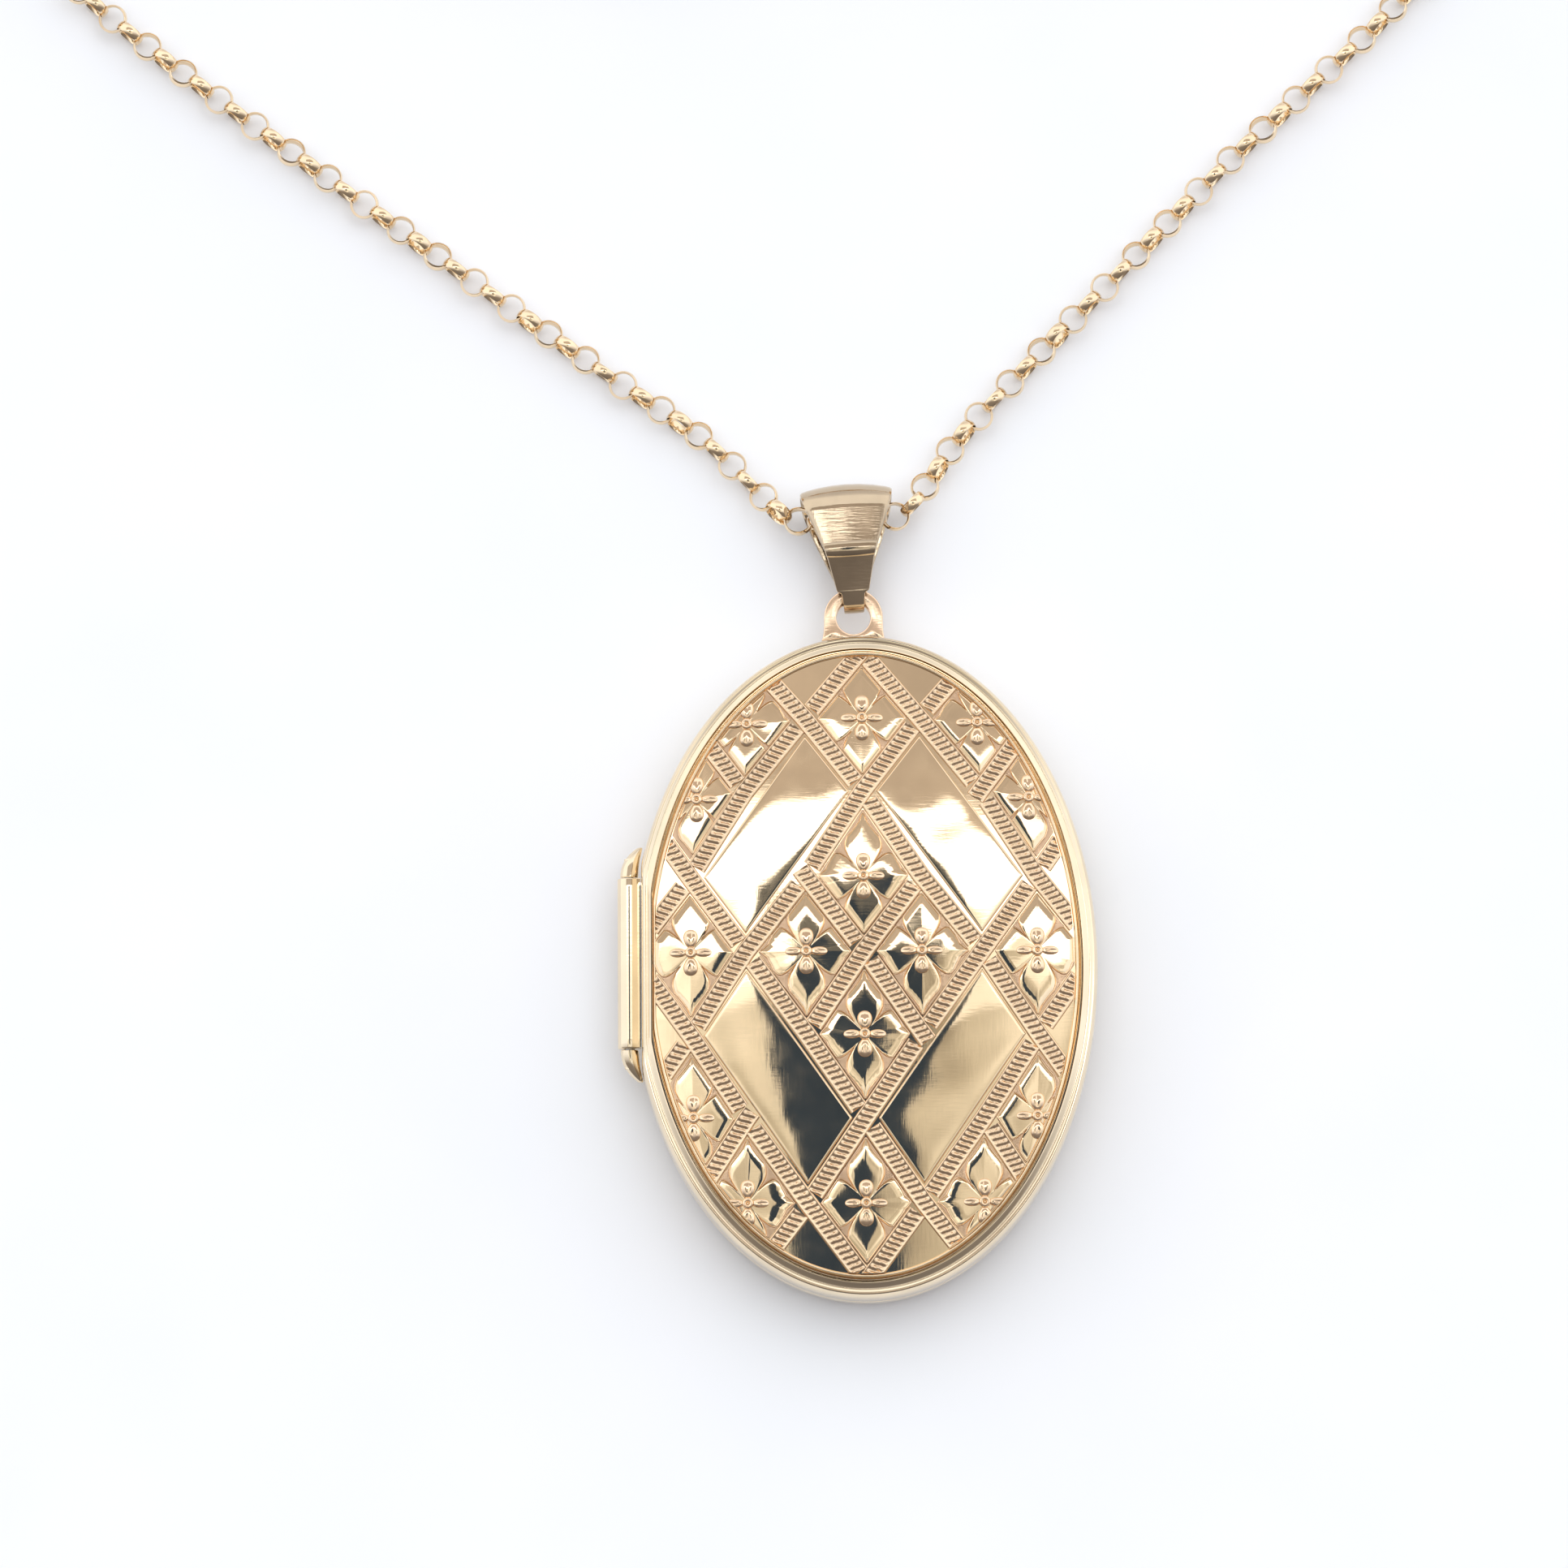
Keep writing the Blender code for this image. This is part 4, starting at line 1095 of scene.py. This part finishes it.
def make_inside(materials):
    """The two inner rims and the two picture frames."""
    inner = RIM_INSET + RIM_WALL
    rim_top = LEDGE_BOTTOM_Z - FIT_GAP
    rim_foot = 2.0 * PARTING_Z - rim_top
    front_rim = [
        (RIM_INSET, FRONT_RIM_BOTTOM_Z), (RIM_INSET, rim_top), (inner, rim_top),
        (inner, FRONT_RIM_BOTTOM_Z),
    ]
    snap_rim = [
        (RIM_INSET, rim_foot), (RIM_INSET, 3.05), (RIM_INSET - 0.03, 3.14), (RIM_INSET, 3.24),
        (RIM_INSET + 0.06, 3.34), (RIM_INSET + 0.16, SNAP_RIM_TOP_Z), (inner, SNAP_RIM_TOP_Z),
        (inner, rim_foot),
    ]
    width, depth = FRAME_WIDTH, FRAME_THICKNESS
    shape = [
        (0.0, 0.0), (0.0, -0.16), (0.12, -0.24), (0.45, -depth), (0.62, -0.19), (0.78, -0.19),
        (0.95, -depth), (1.30, -depth), (1.52, -0.20), (width, -0.11), (width, 0.0),
    ]
    moulding = rounded([(HOLDER_INSET + inset, FRAME_TOP_Z + rise) for inset, rise in shape], 0.25, 2)
    for name, body, node, profile in (
        ("cover_inner_rim", "cover", "front_inner_rim", rounded(front_rim, 0.12)),
        ("snap_rim", "case_back", "back_snap_rim", rounded(snap_rim, 0.2, 2)),
        ("cover_picture_frame", "cover", "front_photo_frame", moulding),
        ("back_picture_frame", "case_back", "back_photo_frame", turned_over(moulding)),
    ):
        piece(oval_ring(name, profile, materials["yellow"]), body, "yellow_gold", node)


# ---- hinge, loop and bail

def around_hinge(y, radius, angle, shift=0.0, drop=0.0):
    """Points at these angles round the hinge's line, or round a spot beside it."""
    x = HINGE_X + shift + radius * np.cos(angle)
    z = PARTING_Z - drop + radius * np.sin(angle)
    return np.stack([x, np.full(len(angle), y), z], axis=1)


def hinge_tube(material):
    """The cover's long knuckle: a bored tube whose outer side runs into its leaf."""
    start = math.asin(LEAF_HIGH / HINGE_RADIUS)
    end = 2.0 * math.pi + math.asin(LEAF_LOW / HINGE_RADIUS)
    angle = np.linspace(start, end, 46)
    tip = HINGE_FLAT_X - FIT_GAP
    rows = [(HINGE_LOW_Y + inward, radius) for inward, radius in HINGE_END]
    rows += [(y, HINGE_RADIUS) for y in np.linspace(HINGE_LOW_Y + 0.5, HINGE_HIGH_Y - 0.5, 8)]
    rows += [(HINGE_HIGH_Y - inward, radius) for inward, radius in reversed(HINGE_END)]
    outside = []
    for y, radius in rows:
        leaf = [(tip, y, PARTING_Z + LEAF_LOW), (tip, y, PARTING_Z + LEAF_HIGH)]
        outside.append(np.concatenate([around_hinge(y, radius, angle), leaf]))
    hole = start + round_angles(len(outside[0]))
    bore = [around_hinge(y, HINGE_BORE, hole) for y in (HINGE_HIGH_Y, HINGE_LOW_Y)]
    return loft("hinge_tube", outside + bore, material, closed=True)


def make_hinge(materials):
    """The cover's long knuckle with its leaf, and two tapered ones on the back."""
    tube = hinge_tube(materials["band"])
    piece(tube, "cover", "rose_gold", "hinge_centre_knuckle")
    turn = round_angles(32)
    for name, node, inner_y, direction in (
        ("hinge_top_end", "hinge_upper_knuckle", HINGE_HIGH_Y + KNUCKLE_GAP, 1.0),
        ("hinge_bottom_end", "hinge_lower_knuckle", HINGE_LOW_Y - KNUCKLE_GAP, -1.0),
    ):
        sections = []
        for share, shift, drop, radius in KNUCKLE_PROFILE:
            y = inner_y + direction * KNUCKLE_LENGTH * share
            sections.append(around_hinge(y, radius, turn, shift, drop))
        piece(loft(name, sections, materials["band"]), "case_back", "rose_gold", node)


def make_loop(materials):
    """A flat eyelet with soft edges: a round top, and legs that flare a little at the case."""
    arc = np.linspace(0.0, np.pi, 48)
    x = LOOP_HALF_WIDTH * np.cos(arc)
    y = LOOP_HALF_WIDTH * np.sin(arc)
    leg = np.linspace(0.0, LOOP_ROOT_Y - LOOP_HOLE_Y, 9)[1:]
    flare = LOOP_FLARE * (leg / leg[-1]) ** 3
    foot = np.linspace(-1.0, 1.0, 16)[1:-1] * (LOOP_HALF_WIDTH + flare[-1])
    outline = np.stack([
        np.concatenate([x, -LOOP_HALF_WIDTH - flare, foot, (LOOP_HALF_WIDTH + flare)[::-1]]),
        np.concatenate([y, leg, np.full(len(foot), leg[-1]), leg[::-1]]),
    ], axis=1)
    bearings = np.arctan2(outline[:, 1], outline[:, 0])
    hole = np.stack([np.cos(bearings), np.sin(bearings)], axis=1)

    def level(points, z):
        spots = points + np.array((LOOP_X, LOOP_HOLE_Y))
        return np.column_stack([spots, np.full(len(spots), z)])

    def outer(share, z):
        return level(outline * (1.0 - share * LOOP_SOFT_EDGE / LOOP_HALF_WIDTH), z)

    def inner(share, z):
        return level(hole * (LOOP_HOLE_RADIUS + share * LOOP_SOFT_EDGE), z)

    # Each soft edge: how far it is cut back, and how far in from the flat face.
    soft = [(1.0, 0.0), (0.3, 0.3 * LOOP_SOFT_EDGE), (0.0, LOOP_SOFT_EDGE)]
    sections = [outer(share, LOOP_LOW_Z + depth) for share, depth in soft]
    sections += [outer(share, LOOP_HIGH_Z - depth) for share, depth in reversed(soft)]
    sections += [inner(share, LOOP_HIGH_Z - depth) for share, depth in soft]
    sections += [inner(share, LOOP_LOW_Z + depth) for share, depth in (soft[-1], soft[0])]
    loop = loft("top_loop", sections, materials["rose"], closed=True)
    piece(loop, "case_back", "rose_gold", "suspension_loop")


def bail_line():
    """The strap's line, with the curved stretches divided finely: rows of y, z and width."""
    fine = []
    count = len(BAIL_STRAP)
    for i in range(count):
        a, b, c, d = (np.array(BAIL_STRAP[(i + k) % count][:3]) for k in (-1, 0, 1, 2))
        if BAIL_STRAP[i][3] and BAIL_STRAP[(i + 1) % count][3]:
            fine += [curve_point(a, b, c, d, t) for t in np.linspace(0.0, 1.0, 7)[:-1]]
        else:
            fine += [b + (c - b) * t for t in (0.0, 0.06, 0.5, 0.94)]
    return np.array(fine)


def make_bail(materials):
    """The tapered bail: a strap with soft edges, bowed across its front and wrapped over."""
    line = bail_line()
    run = np.roll(line[:, :2], -1, axis=0) - np.roll(line[:, :2], 1, axis=0)
    run /= np.linalg.norm(run, axis=1)[:, None]
    half = BAIL_THICKNESS / 2.0
    outer = np.full(len(BAIL_ACROSS), half)
    outer[[0, -1]] = 0.45 * half
    outer[[1, -2]] = 0.88 * half
    share = np.concatenate([BAIL_ACROSS, BAIL_ACROSS[::-1]])
    rise = np.concatenate([outer, -outer[::-1]])
    turn = np.array(Matrix.Rotation(BAIL_TILT, 2))
    pivot = np.array((LOOP_X, BAIL_PIVOT_Y))
    sections = []
    for (y, z, width), (run_y, run_z) in zip(line, run):
        bow = BAIL_BOW * width ** 2 * min(max((z - 0.9) / 1.5, 0.0), 1.0)
        lift = rise + bow * (1.0 - share ** 2)
        flat = np.stack([LOOP_X + share * width / 2.0, y - run_z * lift], axis=1)
        flat = (flat - pivot) @ turn.T + pivot
        sections.append(np.column_stack([flat, z + run_y * lift]))
    # The bail's darkened gold carries painted shade as well as wear.
    bail = loft("tapered_bail", sections, materials["worn_and_shaded"], closed=True, sharp_angle=24.0)
    piece(bail, "bail", "yellow_gold", "bail")


# ---- clasp

def bent_tube(start, end, steps, radii, sides):
    """Round sections along the clasp's ring; radii is one number or one for each section."""
    turn = round_angles(sides)
    sections = []
    for angle, radius in zip(np.linspace(start, end, steps), np.broadcast_to(radii, (steps,))):
        reach = CLASP_RADIUS + radius * np.cos(turn)
        sections.append(CLASP + np.outer(reach, bearing(angle)) + np.outer(radius * np.sin(turn), UP))
    return sections


def ring_block(start, end, steps, inner, outer, half_width):
    """Rectangular sections along the clasp's ring, between two distances beyond its middle line."""
    sections = []
    lift = UP * half_width
    for angle in np.linspace(start, end, steps):
        near = CLASP + bearing(angle) * (CLASP_RADIUS + inner)
        far = CLASP + bearing(angle) * (CLASP_RADIUS + outer)
        sections.append([near - lift, far - lift, far + lift, near + lift])
    return sections


def cut_away(body, cutter):
    """Cuts one mesh out of another for good, and removes the cutter."""
    modifier = body.modifiers.new("slot", "BOOLEAN")
    modifier.operation = "DIFFERENCE"
    modifier.solver = "EXACT"
    modifier.object = cutter
    graph = bpy.context.evaluated_depsgraph_get()
    cut = bpy.data.meshes.new_from_object(body.evaluated_get(graph))
    body.modifiers.clear()
    body.data = cut
    bpy.data.objects.remove(cutter, do_unlink=True)


def clasp_body(material):
    """The hollow ring, open at its mouth, with a slot for the trigger along its outer side."""
    span = (MOUTH_START, MOUTH_END + 2.0 * math.pi)
    outside = np.full(CLASP_STEPS, CLASP_TUBE)
    outside[[0, -1]] = CLASP_TUBE - 0.08
    shell = bent_tube(*span, CLASP_STEPS, outside, 24)
    hollow = bent_tube(*span, CLASP_STEPS, CLASP_BORE, 24)
    body = loft("clasp_body", shell + hollow[::-1], material, closed=True)
    slot = ring_block(SLOT_START, SLOT_END, 16, 0.1, 0.8, SLOT_HALF_WIDTH)
    cut_away(body, loft("slot_cutter", slot, material))
    return body


def clasp_trigger(material):
    """The bolt, its thumb post and the small knob on the post's end."""
    bolt = np.full(BOLT_STEPS, BOLT_RADIUS)
    bolt[:3] = (0.12, 0.22, 0.27)
    post = (THUMB_ANGLE - THUMB_HALF_ANGLE, THUMB_ANGLE + THUMB_HALF_ANGLE)
    outward = bearing(THUMB_ANGLE)
    along = np.array((-outward[1], outward[0], 0.0))
    knob = CLASP + outward * THUMB_REACH
    turn = round_angles(16)
    around = np.outer(np.cos(turn), outward) + np.outer(np.sin(turn), UP)
    ball = []
    for share in np.linspace(-0.96, 0.96, 9):
        radius = KNOB_RADIUS * math.sqrt(1.0 - share * share)
        ball.append(knob + along * share * KNOB_RADIUS + radius * around)
    trigger = Parts()
    trigger.add(bent_tube(BOLT_TIP, BOLT_TAIL, BOLT_STEPS, bolt, 16))
    trigger.add(ring_block(*post, 3, 0.05, 0.92, THUMB_HALF_WIDTH))
    trigger.add(ball)
    return trigger.build("clasp_trigger_bolt", material)


def clasp_spring(material):
    """The coil spring behind the bolt, bent along the ring."""
    count = SPRING_TURNS * SPRING_STEPS
    spots = []
    for i in range(count + 1):
        angle = SPRING_START + (SPRING_END - SPRING_START) * i / count
        turn = 2.0 * math.pi * i / SPRING_STEPS
        around = bearing(angle) * math.cos(turn) + UP * math.sin(turn)
        spots.append((CLASP + bearing(angle) * CLASP_RADIUS + around * SPRING_RADIUS, around))
    wire = []
    bulge = round_angles(8)
    for i, (spot, around) in enumerate(spots):
        ahead = spots[min(i + 1, count)][0] - spots[max(i - 1, 0)][0]
        side = np.cross(ahead / np.linalg.norm(ahead), around)
        ring = np.outer(np.cos(bulge), around) + np.outer(np.sin(bulge), side)
        wire.append(spot + SPRING_WIRE * ring)
    return loft("clasp_spring", wire, material)


def make_clasp(materials):
    """The bolt ring's body, trigger and spring."""
    body = clasp_body(materials["yellow"])
    piece(body, "chain", "yellow_gold", "bolt_ring_body")
    trigger = clasp_trigger(materials["yellow"])
    piece(trigger, "clasp_bolt", "yellow_gold", "bolt_ring_trigger")
    spring = clasp_spring(materials["steel"])
    piece(spring, "chain", "spring_steel", "bolt_ring_spring")
    return body, spring, trigger


# ---- finish

def finish_nodes(materials):
    """Gives each CAD node its slot's material, which the nodes that stay are seen in."""
    finishes = {
        "rose_gold": "rose", "yellow_gold": "yellow", "pale_gold": "band", "chain_gold": "chain",
        "spring_steel": "steel", "card": "card", "clear_plastic": "clear",
    }
    for row in frame["record"]["subparts"]:
        node = frame["nodes"][row["node"]]
        material = materials[finishes[row["material_slot"]]]
        node.data.materials.clear()
        node.data.materials.append(material)


def main():
    """The camera and the chain come first, then the studio and the locket's pieces."""
    make_camera()
    materials = make_materials()
    make_chain(materials)
    make_floor()
    make_light()
    finish_nodes(materials)
    make_bands(materials)
    make_face(materials)
    make_back(materials)
    make_inside(materials)
    make_hinge(materials)
    make_loop(materials)
    make_bail(materials)


main()
